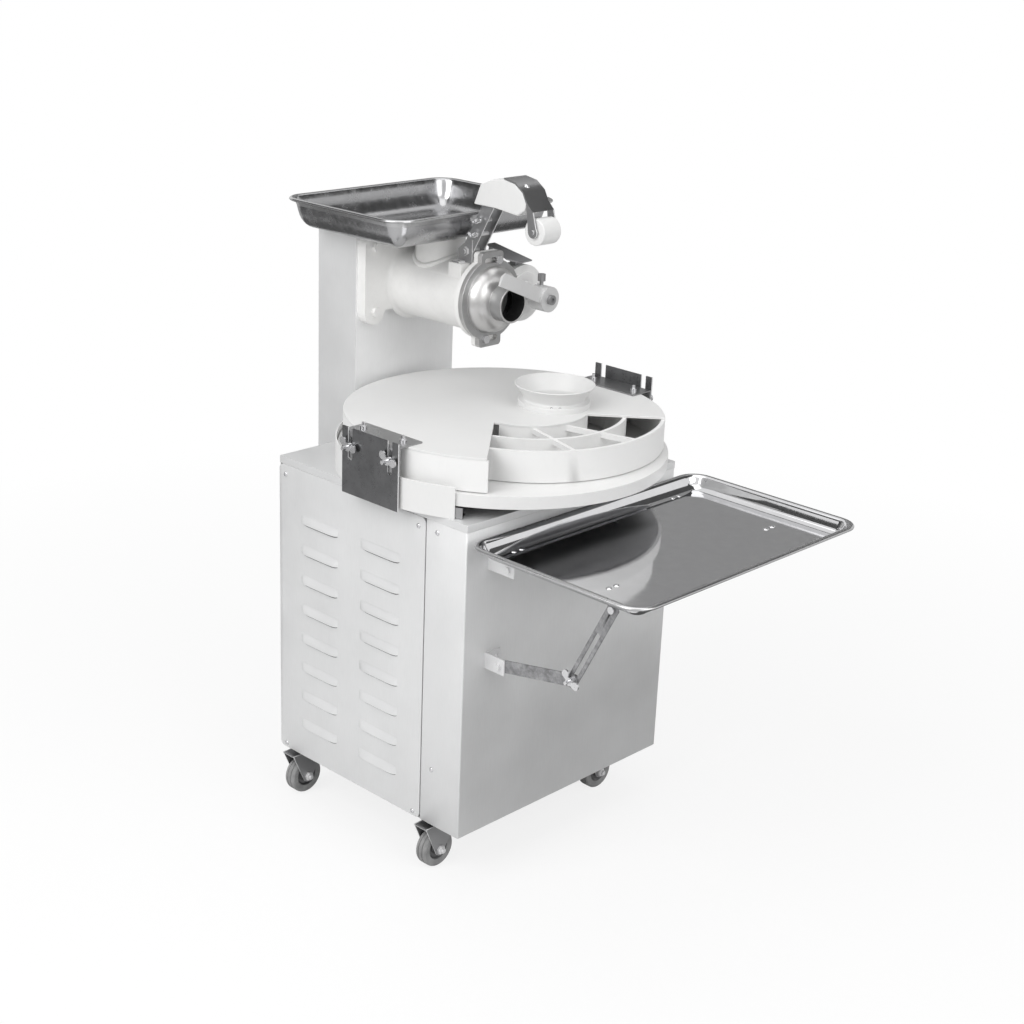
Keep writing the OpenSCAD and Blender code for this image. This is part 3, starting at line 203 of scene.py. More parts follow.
def coated(name, colour, rough, metal=0.0, depth=0.08, wear=0.12):
    """Paint or dark coating with an orange-peel skin, cloudy patches and rubbed spots."""
    g = Graph(name)
    peel = g.noise(260, 2, 0.4)
    patch = g.noise(16, 5, 0.6)
    rub = g.noise(70, 6, 0.75)
    base = g.tint(g.spread(patch, 0, 1), scaled(colour, 1 - wear), scaled(colour, 1 + wear * 0.5))
    rubbed = g.tint(g.spread(rub, 0, 1, 0.3, 0.55), scaled(WHITE, 1 - wear * 0.7), WHITE)
    g.link(g.mul(base, rubbed), "Base Color")
    g.link(g.spread(rub, rough * 0.8, rough * 1.2), "Roughness")
    g.bump((peel, depth, 0.0005), (patch, depth * 0.6, 0.001))
    g.set(Metallic=metal)
    return g.mat


def galvanised(name, low, high, rough):
    """Zinc-coated strip with its crystal mottling."""
    g = Graph(name)
    cell = g.add("ShaderNodeTexVoronoi", {"Vector": g.coord, "Scale": 160.0})
    cloud = g.noise(60, 5, 0.7)
    g.link(g.tint(g.spread(cloud, 0, 1), low, high), "Base Color")
    g.link(g.spread(cell.outputs["Distance"], rough * 0.8, rough * 1.2, 0.0, 0.6), "Roughness")
    g.bump((cell.outputs["Distance"], 0.06, 0.0006), (cloud, 0.15, 0.0008))
    g.set(Metallic=0.85)
    return g.mat


def rubber(name, colour):
    """Dull tyre rubber with grit and dust."""
    g = Graph(name)
    grit = g.noise(300, 4, 0.7)
    dust = g.noise(40, 4, 0.6)
    g.link(g.tint(g.spread(dust, 0, 1), scaled(colour, 0.75), scaled(colour, 1.25)), "Base Color")
    g.link(g.spread(grit, 0.55, 0.8), "Roughness")
    g.bump((grit, 0.25, 0.0008), (dust, 0.2, 0.002))
    return g.mat


MATS = {
    "sheet_steel": brushed("sheet_steel", (0.74, 0.743, 0.745), 0.42, 0.35, (30, 30, 0.6)),
    "polished_steel": polished("polished_steel", (0.7, 0.7, 0.71), 0.06),
    "bright_steel": brushed("bright_steel", (0.66, 0.66, 0.67), 0.24, 1.0, (8, 8, 8), 0.05),
    "brushed_nozzle": brushed("brushed_nozzle", (0.6, 0.595, 0.59), 0.32, 0.9, (2, 60, 2), 0.06),
    "blade_steel": brushed("blade_steel", (0.72, 0.72, 0.72), 0.4, 0.6, (30, 2, 2), 0.05),
    "grey_steel": brushed("grey_steel", (0.36, 0.36, 0.37), 0.34, 0.95, (3, 40, 3), 0.05),
    "mid_steel": brushed("mid_steel", (0.36, 0.36, 0.365), 0.3, 0.95, (4, 4, 30), 0.05),
    "dark_steel": coated("dark_steel", (0.17, 0.171, 0.175), 0.3, 0.9, 0.04, 0.2),
    "fork_steel": coated("fork_steel", (0.15, 0.15, 0.152), 0.4, 0.7, 0.06, 0.2),
    "cast_grey": coated("cast_grey", (0.35, 0.35, 0.36), 0.5, 0.6, 0.2),
    "white_casting": coated("white_casting", (0.85, 0.847, 0.835), 0.36, 0.0, 0.1, 0.04),
    "white_plastic": plastic("white_plastic", (0.76, 0.76, 0.755), 0.42, 0.04, 0.025),
    "bronze": brushed("bronze", (0.7, 0.5, 0.28), 0.35, 1.0, (2, 40, 2)),
    "motor_paint": coated("motor_paint", (0.22, 0.28, 0.35), 0.4, 0.0, 0.15),
    "box_paint": coated("box_paint", (0.66, 0.66, 0.65), 0.4, 0.0, 0.12, 0.06),
    "black_plastic": plastic("black_plastic", (0.03, 0.03, 0.032), 0.45, 0.15, 0.2),
    "green_plastic": plastic("green_plastic", (0.03, 0.34, 0.09), 0.25, 0.05, 0.1),
    "red_plastic": plastic("red_plastic", (0.55, 0.03, 0.025), 0.25, 0.05, 0.1),
    "wheel_rubber": rubber("wheel_rubber", (0.28, 0.28, 0.28)),
    # Zinc plate; also put on the cut edges of dark plates, bare edges made bright as a painted
    # highlight
    "zinc_and_edge_highlight": brushed("zinc_and_edge_highlight", (0.78, 0.78, 0.785), 0.38, 0.3, (8, 8, 8), 0.04),
    # Lighter copy of the white plastic for the spiral's walls: painted light where they stand in shade
    # under the cover
    "track_plastic_painted_light": plastic("track_plastic_painted_light", (0.83, 0.83, 0.825), 0.42, 0.04, 0.02),
    "galvanised": galvanised("galvanised", (0.19, 0.19, 0.195), (0.44, 0.44, 0.45), 0.5),
    # Dark for the louvres' open slits and for the painted shadow below their lips
    "slit_and_painted_shadow": coated("slit_and_painted_shadow", (0.12, 0.12, 0.122), 0.6, 0.0, 0.1, 0.2),
    "pan_satin": polished("pan_satin", (0.43, 0.43, 0.437), 0.21),
    # Darker copy of the nozzle's steel: painted shade on its flange front and tube
    "nozzle_painted_shade": brushed("nozzle_painted_shade", (0.4, 0.4, 0.4), 0.34, 0.8, (2, 60, 2), 0.06),
    "rim_satin": brushed("rim_satin", (0.5, 0.5, 0.505), 0.25, 1.0, (8, 8, 8), 0.05),
    # Lighter copy of the sheet steel: painted light on the column's front
    "sheet_steel_painted_light": brushed("sheet_steel_painted_light", (0.93, 0.933, 0.935), 0.42, 0.35, (30, 30, 0.6)),
    # Near-black copy for the nozzle's bore: painted shade
    "bore_painted_shade": coated("bore_painted_shade", (0.045, 0.045, 0.046), 0.5, 0.6, 0.1, 0.2),
}

# Looks of single nodes that differ from their slot's
slot_of = {s["node"]: s["material_slot"] for s in frame["record"]["subparts"]}
own_look = {
    "tray_lower_arm": "galvanised",
    "tray_slotted_arm": "galvanised",
    "arm_legs": "mid_steel",
    "arm_bracket": "mid_steel",
    "roller_strap": "mid_steel",
    "track_brackets": "mid_steel",
    # Spiral walls: lighter white plastic, painted light in the shade under the cover
    "track_spiral": "track_plastic_painted_light",
    "tray_brackets": "zinc_and_edge_highlight",
    "knife_blade": "blade_steel",
    "knife_hub": "blade_steel",
    "knife_screws": "mid_steel",
}

# Edges: flat sheets and inner pieces stay sharp, the rest get a small bevel, in millimetres
planar = {"column_shell", "column_cover", "back_panel", "control_box"}
flat_shaded = planar | {"top_plate"}
sharp_edged = planar | {"auger", "frame", "auger_bearing", "spindle_bearing"}
PLAIN_EDGE = 0.7
edge = {"duster_block": 3.0, "turntable": 2.0, "roller": 2.5, "cutter_housing": 1.5}

for name, obj in nodes.items():
    obj.data.materials.clear()
    obj.data.materials.append(MATS[own_look.get(name, slot_of[name])])
    for poly in obj.data.polygons:
        poly.use_smooth = name not in flat_shaded
    weld = obj.modifiers.new("weld", "WELD")
    weld.merge_threshold = 0.00001
    if name not in sharp_edged:
        bevel = obj.modifiers.new("bevel", "BEVEL")
        bevel.width = edge.get(name, PLAIN_EDGE) / 1000
        bevel.segments = 2
        bevel.limit_method = "ANGLE"
        bevel.angle_limit = math.radians(38)
        even = obj.modifiers.new("even", "WEIGHTED_NORMAL")
        even.weight = 60


def faces_look(node, look, test):
    """Another look for the faces that pass a test on their middle, in millimetres, and normal."""
    obj = nodes[node]
    obj.data.materials.append(MATS[look])
    place = obj.matrix_world
    turn = place.to_3x3()
    for poly in obj.data.polygons:
        at = (place @ poly.center) * 1000
        if test(at.x, at.y - MID_Y, at.z, (turn @ poly.normal).normalized()):
            poly.material_index = len(obj.data.materials) - 1


def in_bore(x, y, z, n):
    """Inside of the nozzle, which gets near-black painted shade."""
    out = Vector((x - BARREL_X, 0, z - BARREL_Z))
    return out.length < 60 and n.dot(out.normalized()) < -0.3


def on_flange(x, y, z, n):
    """Front of the nozzle's flange and lugs, and the outside of its tube, which get a darker copy of
    the nozzle's steel as painted shade.
    """
    out = Vector((x - BARREL_X, 0, z - BARREL_Z))
    on_tube = out.length < 40 and n.dot(out.normalized()) > 0.8
    return on_tube or (n.y < -0.9 and out.length > 66)


# Painted shade inside the nozzle's bore
faces_look("nozzle", "bore_painted_shade", in_bore)
# Painted shade on the flange's front and the tube
faces_look("nozzle", "nozzle_painted_shade", on_flange)
faces_look("head_bolts", "white_casting", lambda x, y, z, n: y > 100)
# The column's front faces get the lighter sheet steel as painted light
faces_look("column_shell", "sheet_steel_painted_light", lambda x, y, z, n: n.y < -0.9)
# Cut edges of the clamp plates, arm legs, arm bracket and roller strap: bare edges made bright as a
# painted highlight
faces_look("clamp_plates", "zinc_and_edge_highlight", lambda x, y, z, n: abs(n.y) > 0.9)
faces_look("arm_legs", "zinc_and_edge_highlight", lambda x, y, z, n: abs(n.x) < 0.3)
faces_look("arm_bracket", "zinc_and_edge_highlight", lambda x, y, z, n: abs(n.x) < 0.3)
faces_look("roller_strap", "zinc_and_edge_highlight", lambda x, y, z, n: abs(n.x) < 0.3 and z < 1272)
faces_look("tray_lower_arm", "bright_steel", lambda x, y, z, n: x < -241 or x > -225)

# Pieces built in mesh code


def finish_piece(name, bm, slot, body, stands_for=(), look=None, sharp=40.0):
    """A piece from its mesh: shaded, given its material and tied to the body it moves with."""
    bmesh.ops.recalc_face_normals(bm, faces=bm.faces)
    mesh = bpy.data.meshes.new(name)
    bm.to_mesh(mesh)
    bm.free()
    for poly in mesh.polygons:
        poly.use_smooth = True
    mesh.set_sharp_from_angle(angle=math.radians(sharp))
    mesh.materials.append(MATS[look or slot])
    obj = bpy.data.objects.new(name, mesh)
    scene.collection.objects.link(obj)
    if stands_for:
        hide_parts(*stands_for)
    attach(obj, body)
    return obj


def around(steps):
    """Angles of a full turn in equal steps."""
    return [FULL_TURN * k / steps for k in range(steps)]


def skin(bm, rings):
    """Quads between closed rings of equal length; returns the rings of vertices."""
    loops = [[bm.verts.new(p) for p in ring] for ring in rings]
    n = len(loops[0])
    for a, b in zip(loops, loops[1:]):
        for i in range(n):
            j = (i + 1) % n
            bm.faces.new((a[i], a[j], b[j], b[i]))
    return loops


def lathe(bm, profile, centre, axis, segments=64, ends=True):
    """Turns a profile of (radius, distance along the axis) in millimetres about an axis."""
    axis = Vector(axis).normalized()
    side = axis.orthogonal().normalized()
    other = axis.cross(side)
    spokes = [side * math.cos(t) + other * math.sin(t) for t in around(segments)]
    rings = []
    for r, h in profile:
        rings.append([centre + axis * (h / 1000) + spoke * (max(r, 0.001) / 1000) for spoke in spokes])
    loops = skin(bm, rings)
    if ends:
        bm.faces.new(loops[0][::-1])
        bm.faces.new(loops[-1])


def arc(cx, cy, r, start, end, steps):
    """Points of an arc in the plane of a profile, angles in degrees."""
    angles = [math.radians(start + (end - start) * k / steps) for k in range(steps + 1)]
    return [(cx + r * math.cos(a), cy + r * math.sin(a)) for a in angles]


def bend(a, corner, b, steps=6):
    """Points of a soft corner between two places."""
    out = []
    for k in range(steps + 1):
        t = k / steps
        weights = ((a, (1 - t) ** 2), (corner, 2 * t * (1 - t)), (b, t * t))
        out.append(tuple(sum(p[i] * w for p, w in weights) for i in range(2)))
    return out


def round_ring(cx, cy, z, w, l, corner, steps=10):
    """A rectangle with round corners, at one height."""
    pts = []
    corner = max(corner, 0.5)
    for sx, sy, start in ((1, 1, 0), (-1, 1, 90), (-1, -1, 180), (1, -1, 270)):
        mx, my = cx + sx * (w / 2 - corner), cy + sy * (l / 2 - corner)
        for k in range(steps + 1):
            a = math.radians(start + 90 * k / steps)
            pts.append(P(mx + corner * math.cos(a), my + corner * math.sin(a), z))
    return pts


def box_mm(node):
    """Middle, foot and sides of a node in millimetres, from the cabinet's middle and the floor."""
    lo, hi = (Vector(v) * 1000 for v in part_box(node))
    return (lo.x + hi.x) / 2, (lo.y + hi.y) / 2 - MID_Y, lo.z, hi.x - lo.x, hi.y - lo.y, hi.z - lo.z


def pierce(bm, loop, x, y, r):
    """Fills the floor inside a loop, apart from a round hole."""
    level = Vector((0, 0, loop[0].co.z))
    rim = [bm.verts.new(level + P(x + r * math.cos(a), y + r * math.sin(a), 0)) for a in around(48)]
    edges = [bm.edges.new((a, b)) for a, b in zip(rim, rim[1:] + rim[:1])]
    border = [bm.edges.get((a, b)) for a, b in zip(loop, loop[1:] + loop[:1])]
    bmesh.ops.triangle_fill(bm, use_beauty=True, edges=edges + [e for e in border if e])


def pan_of(name, node, body, corner, soft, look, hole=None):
    """Pressed pan in a node's place: flat floor, soft edge, leaning wall and flattened rolled rim."""
    cx, cy, z0, w, l, h = box_mm(node)
    t, bead, flat, lean = 1.6, 5.6, 0.62, 16
    top, foot = 2 * bead, 2 * bead + lean
    inner = bend((foot + t + soft, t), (foot + t, t), (foot + t - lean * soft / h, soft), 8)
    inner += [(top + t + lean * (h - z) / h, z) for z in (h * 0.7, h * 0.8)]
    inner += bend((top + t + lean * 5 / h, h - 5), (top + t - 0.5, h - 0.3), (bead + 0.5, h), 5)
    roll = [(r, h - bead * flat + flat * z) for r, z in arc(bead, 0, bead, 95, 330, 12)]
    outer = [(top + lean * (h - z) / h, z) for z in (h * 0.75, h * 0.7)]
    outer += bend((foot - lean * soft / h, soft), (foot, 0), (foot + soft, 0), 8)
    section = inner + roll + outer
    rings = [round_ring(cx, cy, z0 + z, w - 2 * d, l - 2 * d, corner - d) for d, z in section]
    bm = bmesh.new()
    loops = skin(bm, rings)
    for loop in (loops[0], loops[-1]):
        if hole is None:
            bm.faces.new(loop)
        else:
            pierce(bm, loop, *hole)
    pan = finish_piece(name, bm, "polished_steel", body, (node,), look, 50)
    pan.data.materials.append(MATS["rim_satin"])
    per_ring = len(rings[0])
    rim_first, rim_last = len(inner) - 2, len(inner) + len(roll)
    for poly in pan.data.polygons[rim_first * per_ring : rim_last * per_ring]:
        poly.material_index = 1


pan_of("hopper_pan", "hopper", "machine", 48, 36, "pan_satin", (BARREL_X, THROAT_Y, 42))
pan_of("tray_pan", "front_tray", "tray", 46, 15, "polished_steel")


def wheel(tag):
    """Castor wheel: grooved rubber tyre on a dished hub."""
    body = "castor_wheel_" + tag
    x, y, z, _, wide, tall = box_mm(body)
    r, half = tall / 2, wide / 2
    centre = P(x, y, z + r)
    bm = bmesh.new()
    tyre = [(r - 15, -half + 2)] + arc(r - 5, -half + 5, 5, 270, 360, 5)
    for at in (-5, 5):
        tyre += [(r, at - 1.6), (r - 1.6, at - 0.8), (r - 1.6, at + 0.8), (r, at + 1.6)]
    tyre += arc(r - 5, half - 5, 5, 0, 90, 5) + [(r - 15, half - 2)]
    lathe(bm, tyre, centre, (0, 1, 0), 72, False)
    finish_piece("tyre_" + tag, bm, "wheel_rubber", body, (body,), sharp=30)
    bm = bmesh.new()
    hub = [(5.2, -half), (11, -half), (12, -half + 3), (14, -half + 6), (r - 19, -half + 6)]
    hub += [(r - 16, -half + 2), (r - 14, -half + 2)]
    hub += [(a, -h) for a, h in reversed(hub)]
    lathe(bm, hub, centre, (0, 1, 0), 64, False)
    finish_piece("wheel_hub_" + tag, bm, "wheel_rubber", body, (), "fork_steel", 30)


def fork(tag):
    """Pressed castor fork: broad crown, two cheeks whose bare cut edges are made bright as a painted
    highlight, kingpin and axle nuts.
    """
    x, y, z, _, wide, tall = box_mm("castor_wheel_" + tag)
    axle, side = z + tall / 2, wide / 2 + 2
    t, crown, stem_top, kingpin = 2.5, 97.0, 104.5, 30
    front, rear = -40, 44
    cheek = [(front, crown), (rear, crown), (rear - 3, crown - 13)] + arc(0, axle, 13, 10, -150, 10)
    bm = bmesh.new()
    for a in (-side - t, side):
        near, far = ([bm.verts.new(P(x + u, y + b, v)) for u, v in cheek] for b in (a, a + t))
        bm.faces.new(near)
        bm.faces.new(far)
        for k in range(len(cheek)):
            j = (k + 1) % len(cheek)
            # Cut edges of the cheeks: bare edges made bright as a painted highlight
            bm.faces.new((near[k], near[j], far[j], far[k])).material_index = 1
    corners = [(front, -side), (rear, -side), (rear, side), (front, side)]
    plate = skin(bm, [[P(x + a, y + b, v) for a, b in corners] for v in (crown - t, crown)])
    bm.faces.new(plate[0])
    bm.faces.new(plate[1])
    race = [(22, crown - t), (22, crown + 3), (12, crown + 3), (12, stem_top)]
    lathe(bm, race, P(x + kingpin, y, 0), UP, 40)
    body = "castor_fork_" + tag
    obj = finish_piece("fork_" + tag, bm, "fork_steel", body, (body,), "mid_steel", 35)
    obj.data.materials.append(MATS["zinc_and_edge_highlight"])
    bm = bmesh.new()
    for way in (-1, 1):
        at = P(x, y + way * (side + t), axle)
        lathe(bm, [(9.5, 0), (9.5, 5), (8.6, 6)], at, (0, way, 0), 6)
        lathe(bm, [(5, 6), (5, 10), (4.2, 11)], at, (0, way, 0), 24)
    finish_piece("axle_nuts_" + tag, bm, "fork_steel", body, (), "zinc_and_edge_highlight", 30)


for tag in ("fl", "fr", "bl", "br"):
    wheel(tag)
    fork(tag)


def louvre(bm, x_out, side, yc, zb):
    """One pressed louvre that fades into the sheet above it, and a dark strip for the slit at its open
    edge that runs on below the lip as a painted shadow.
    """
    length, tall, out, sheet, sag = 114.0, 19.0, 6.0, 0.8, 1.5
    painted_shadow_below, slit_above = 4.8, 2.0
    across, up = 24, 8
    skins = []
    for layer in (0.0, sheet):
        columns = []
        for i in range(across + 1):
            u = -1 + 2 * i / across
            ends = math.sqrt(max(0.0, 1 - abs(u) ** 5))
            drop = sag * abs(u) ** 6
            line = []
            for k in range(up + 1):
                v = k / up
                rise = out * ends * (1 - v) ** 1.6 * (1 + 1.2 * v)
                x = x_out + side * (rise - layer + 0.05)
                line.append(bm.verts.new(P(x, yc + u * length / 2, zb + drop * (1 - v) + v * tall)))
            columns.append(line)
        skins.append(columns)
    for columns in skins:
        for a, b in zip(columns, columns[1:]):
            for k in range(up):
                bm.faces.new((a[k], b[k], b[k + 1], a[k + 1]))
    outer, inner = skins
    for i in range(across):
        bm.faces.new((outer[i][0], outer[i + 1][0], inner[i + 1][0], inner[i][0]))
    # Dark strip: the open slit under the lip, and below the lip a painted shadow on the sheet
    slit = []
    for i in range(across + 1):
        u = -0.97 + 1.94 * i / across
        x, y, z = x_out + side * 0.06, yc + u * length / 2, zb + sag * abs(u) ** 6
        ends = 1 - abs(u) ** 8
        slit.append([bm.verts.new(P(x, y, z + d)) for d in (-painted_shadow_below * ends, slit_above)])
    for a, b in zip(slit, slit[1:]):
        bm.faces.new((a[0], b[0], b[1], a[1])).material_index = 1


def louvre_panel(name, node, side):
    """Side panel: a plate with soft edges and two columns of louvres."""
    bm = bmesh.new()
    y0, y1, z0, z1, corner = -160.8, 270, 105, 740, 12
    cy, cz = (y0 + y1) / 2, (z0 + z1) / 2
    x_out, x_in = side * 301.0, side * 298.0
    rings = []
    for inset, x in ((0, x_in), (0, x_out - side * 0.8), (0.25, x_out - side * 0.25), (0.8, x_out)):
        ring = round_ring(0, 0, 0, y1 - y0 - 2 * inset, z1 - z0 - 2 * inset, corner - inset, 6)
        rings.append([P(x, cy + p.x * 1000, cz + (p.y - MID_Y / 1000) * 1000) for p in ring])
    loops = skin(bm, rings)
    bm.faces.new(loops[0])
    bm.faces.new(loops[-1])
    rows, first_z, row_step, columns = 8, 630, 65, (144, -36)
    for row in range(rows):
        for yc in columns:
            louvre(bm, x_out, side, yc, first_z - row_step * row)
    obj = finish_piece(name, bm, "sheet_steel", "machine", (node,), sharp=35)
    obj.data.materials.append(MATS["slit_and_painted_shadow"])


louvre_panel("louvred_left", "left_panel", -1)
louvre_panel("louvred_right", "right_panel", 1)


def front_sheet():
    """Front sheet bent round into its two side returns, with soft bends and edges."""
    bm = bmesh.new()
    _, y, z, w, l, h = box_mm("front_panel")
    t, r, soft = 2.0, 3.0, 0.6
    front, back, half = y - l / 2, y + l / 2, w / 2

    def path(inset):
        left = [(-half + inset, back)] + arc(-half + r, front + r, r - inset, 180, 270, 6)
        return left + [(-a, b) for a, b in reversed(left)]

    outline = path(0) + path(t)[::-1]
    mid = path(t / 2) + path(t / 2)[::-1]
    rings = []
    for share, level in ((0.6, 0), (0, soft), (0, h - soft), (0.6, h)):
        ring = [(a + (c - a) * share, b + (d - b) * share) for (a, b), (c, d) in zip(outline, mid)]
        rings.append([P(a, b, z + level) for a, b in ring])
    loops = skin(bm, rings)
    n = len(outline)
    for loop in (loops[0], loops[-1]):
        for i in range(n // 2 - 1):
            bm.faces.new((loop[i], loop[i + 1], loop[n - 2 - i], loop[n - 1 - i]))
    finish_piece("front_sheet", bm, "sheet_steel", "machine", ("front_panel",), sharp=50)


front_sheet()


def funnel_piece():
    """Thin turned funnel with a rounded lip and a flanged foot."""
    centre = P(*box_mm("funnel")[:3])
    bm = bmesh.new()
    bore, foot, neck = 58, 73, 62.4
    flare = [(k / 6, (k / 6) ** 1.08) for k in range(7)]
    outer = [(bore, 0), (foot, 0)] + arc(71.5, 9.5, 2.2, 0, 90, 4)
    outer += bend((68, 11.7), (62.5, 11.8), (neck, 16))
    outer += [(neck + 18.4 * wide, 16 + 27.3 * up) for up, wide in flare[1:]]
    lip = arc(80.3, 43.4, 1.5, -20, 180, 6)
    inner = [(59.2 + 19.4 * wide, 15 + 28 * up) for up, wide in reversed(flare)]
    inner += [(bore, 13), (bore, 0)]
    lathe(bm, outer + lip + inner, centre, UP, 96, False)
    finish_piece("funnel_bowl", bm, "white_plastic", "track", ("funnel",), sharp=40)
    bm = bmesh.new()
    head, circle, seat = [(0, 2.4), (1.6, 2.3), (2.6, 1.6), (3.0, 0)], 0.0688, 0.0115
    for a in (math.radians(d) for d in (-128, -142, 40, 55)):
        at = centre + Vector((circle * math.cos(a), circle * math.sin(a), seat))
        lathe(bm, head, at, UP, 20, False)
    finish_piece("funnel_screws", bm, "bright_steel", "track", (), sharp=40)


funnel_piece()


def dome_heads(name, places, axis, r, h, body, stands_for=(), recess=True):
    """Round heads of screws or rivets, the screws with a small recess."""
    bm = bmesh.new()
    profile = [(r, 0), (r, h * 0.25)]
    profile += [(r * math.cos(t), h * (0.25 + 0.75 * math.sin(t))) for t in (0.35, 0.75, 1.1)]
    profile += [(r * 0.36, h), (r * 0.3, h * 0.6), (0, h * 0.55)] if recess else [(0, h)]
    for at in places:
        lathe(bm, profile, at, axis, 24, False)
    finish_piece(name, bm, "bright_steel", body, stands_for, sharp=35)


# Screws of the side panels and the front sheet's returns, the back panel and the column's cover
SCREW_R, SIDE_SCREW_H, REAR_SCREW_H = 5.0, 2.6, 2.5
left = [P(-301, y, z) for y in (-142, 250) for z in (720, 115)]
left += [P(-300, -192, z) for z in (720, 226)]
right = [Vector((-p.x, p.y, p.z)) for p in left]
rear = [P(x, 270, z) for x in (-288, 288) for z in (125, 720)]
rear += [P(BARREL_X + x, 387, z) for x in (-128, 128) for z in (145, 649.5, 1154)]
dome_heads("screws_left", left, (-1, 0, 0), SCREW_R, SIDE_SCREW_H, "machine", ("panel_screws",))
dome_heads("screws_right", right, (1, 0, 0), SCREW_R, SIDE_SCREW_H, "machine")
dome_heads("screws_rear", rear, (0, 1, 0), SCREW_R, REAR_SCREW_H, "machine")

TRAY_FLOOR = 707.4
rivets = [P(x + d, y, TRAY_FLOOR) for x in (-230, 230) for y in (-331, -563) for d in (-10, 10)]
dome_heads("tray_rivets", rivets, UP, 6.2, 3.6, "tray", (), False)
dome_heads("strap_bolt", [P(18, -84, 1316.5)], (0, -0.57, 0.82), 6.0, 4.5, "duster_arm")


def wing_nuts(name, places, body):
    """Small wing nuts on the outer side of the arm's near leg."""
    bm = bmesh.new()
    nut, lobe_thick = [(6, 0), (5, 4), (3.2, 8)], Vector((0, 0, 0.0018))
    for at in places:
        lathe(bm, nut, at, (-1, 0, 0), 20)
        for way in (-1, 1):
            lobe = []
            for a in around(16):
                out, up = 6 + 4 * math.sin(a), math.cos(a)
                lobe.append(at + Vector((-out, way * (6.5 + 5.5 * up), 4 * up)) / 1000)
            loops = skin(bm, [lobe, [p + lobe_thick for p in lobe]])
            bm.faces.new(loops[0])
            bm.faces.new(loops[1])
    finish_piece(name, bm, "bright_steel", body, (), sharp=40)


wing_nuts("arm_wing_nuts", [P(1.5, 36.5, 1206), P(1.5, 29.5, 1234.5)], "duster_arm")


def sweep_ring(name, centres, normals, thick, slot, body, wobble):
    """Weld bead along a closed line of places, slightly uneven."""
    bm = bmesh.new()
    count, sides = len(centres), 12
    rings = []
    for k, (c, out) in enumerate(zip(centres, normals)):
        along = (centres[(k + 1) % count] - centres[k - 1]).normalized()
        up = along.cross(out).normalized()
        a = FULL_TURN * k / count
        r = thick * (1 + wobble * (math.sin(11 * a) + 0.6 * math.sin(23 * a + 1))) / 1000
        rings.append([c + (out * math.cos(t) + up * math.sin(t)) * r for t in around(sides)])
    loops = skin(bm, rings)
    first, last = loops[0], loops[-1]
    for i in range(sides):
        j = (i + 1) % sides
        bm.faces.new((last[i], last[j], first[j], first[i]))
    finish_piece(name, bm, slot, body, (), sharp=80)


def throat_bead():
    """Bead on the saddle where the upright throat meets the round barrel."""
    centres, normals = [], []
    throat_r, barrel_r = 51, 71.5
    for a in around(96):
        x, y = throat_r * math.cos(a), throat_r * math.sin(a)
        rise = math.sqrt(barrel_r**2 - x**2)
        centres.append(P(BARREL_X + x, THROAT_Y + y, BARREL_Z + rise))
        normals.append(Vector((math.cos(a), math.sin(a), 0)))
    sweep_ring("throat_weld", centres, normals, 5.5, "white_casting", "machine", 0.05)


def rear_fillet():
    """Hollow-ground fillet from the barrel to its rear flange."""
    bm = bmesh.new()
    hollow, top, flange = 9, 80, 246.2
    curve = [(80.2, 246.6)]
    for t in (math.radians(d) for d in range(0, 91, 10)):
        curve.append((top - hollow * math.sin(t), flange - hollow + hollow * math.cos(t)))
    curve.append((70.8, 236.5))
    lathe(bm, curve, P(BARREL_X, 0, BARREL_Z), (0, 1, 0), 96, False)
    finish_piece("rear_weld", bm, "white_casting", "machine", (), sharp=60)


def skirt_foot():
    """Bent foot that holds the free end of the guard skirt to the cabinet's top."""
    bm = bmesh.new()
    profile = [(331.2, 756), (331.2, 777), (328.6, 777)]
    profile += bend((328.6, 762), (328.6, 758.6), (325, 758.6), 4) + [(306, 758.6), (306, 756)]
    rings = []
    for a in (203.0, 205.0, 207.0, 209.0, 211.4):
        t = math.radians(a)
        rings.append([P(r * math.cos(t), DISC_Y + r * math.sin(t), z) for r, z in profile])
    loops = skin(bm, rings)
    bm.faces.new(loops[0][::-1])
    bm.faces.new(loops[-1])
    finish_piece("skirt_foot", bm, "dark_steel", "machine", (), "mid_steel", 35)


def underside_shade_sheet():
    """Dark steel sheet under the turntable, turned down at its edge, which stands in for the shade on
    the turntable's underside.
    """
    bm = bmesh.new()
    profile = [(64, 779.9), (64, 778.4), (318, 778.4), (322, 778.9), (323.5, 779.9)]
    lathe(bm, profile, P(0, DISC_Y, 0), UP, 128, False)
    finish_piece("underside_shade_sheet", bm, "dark_steel", "turntable", (), "mid_steel", 40)


throat_bead()
rear_fillet()
skirt_foot()
underside_shade_sheet()

# Studio


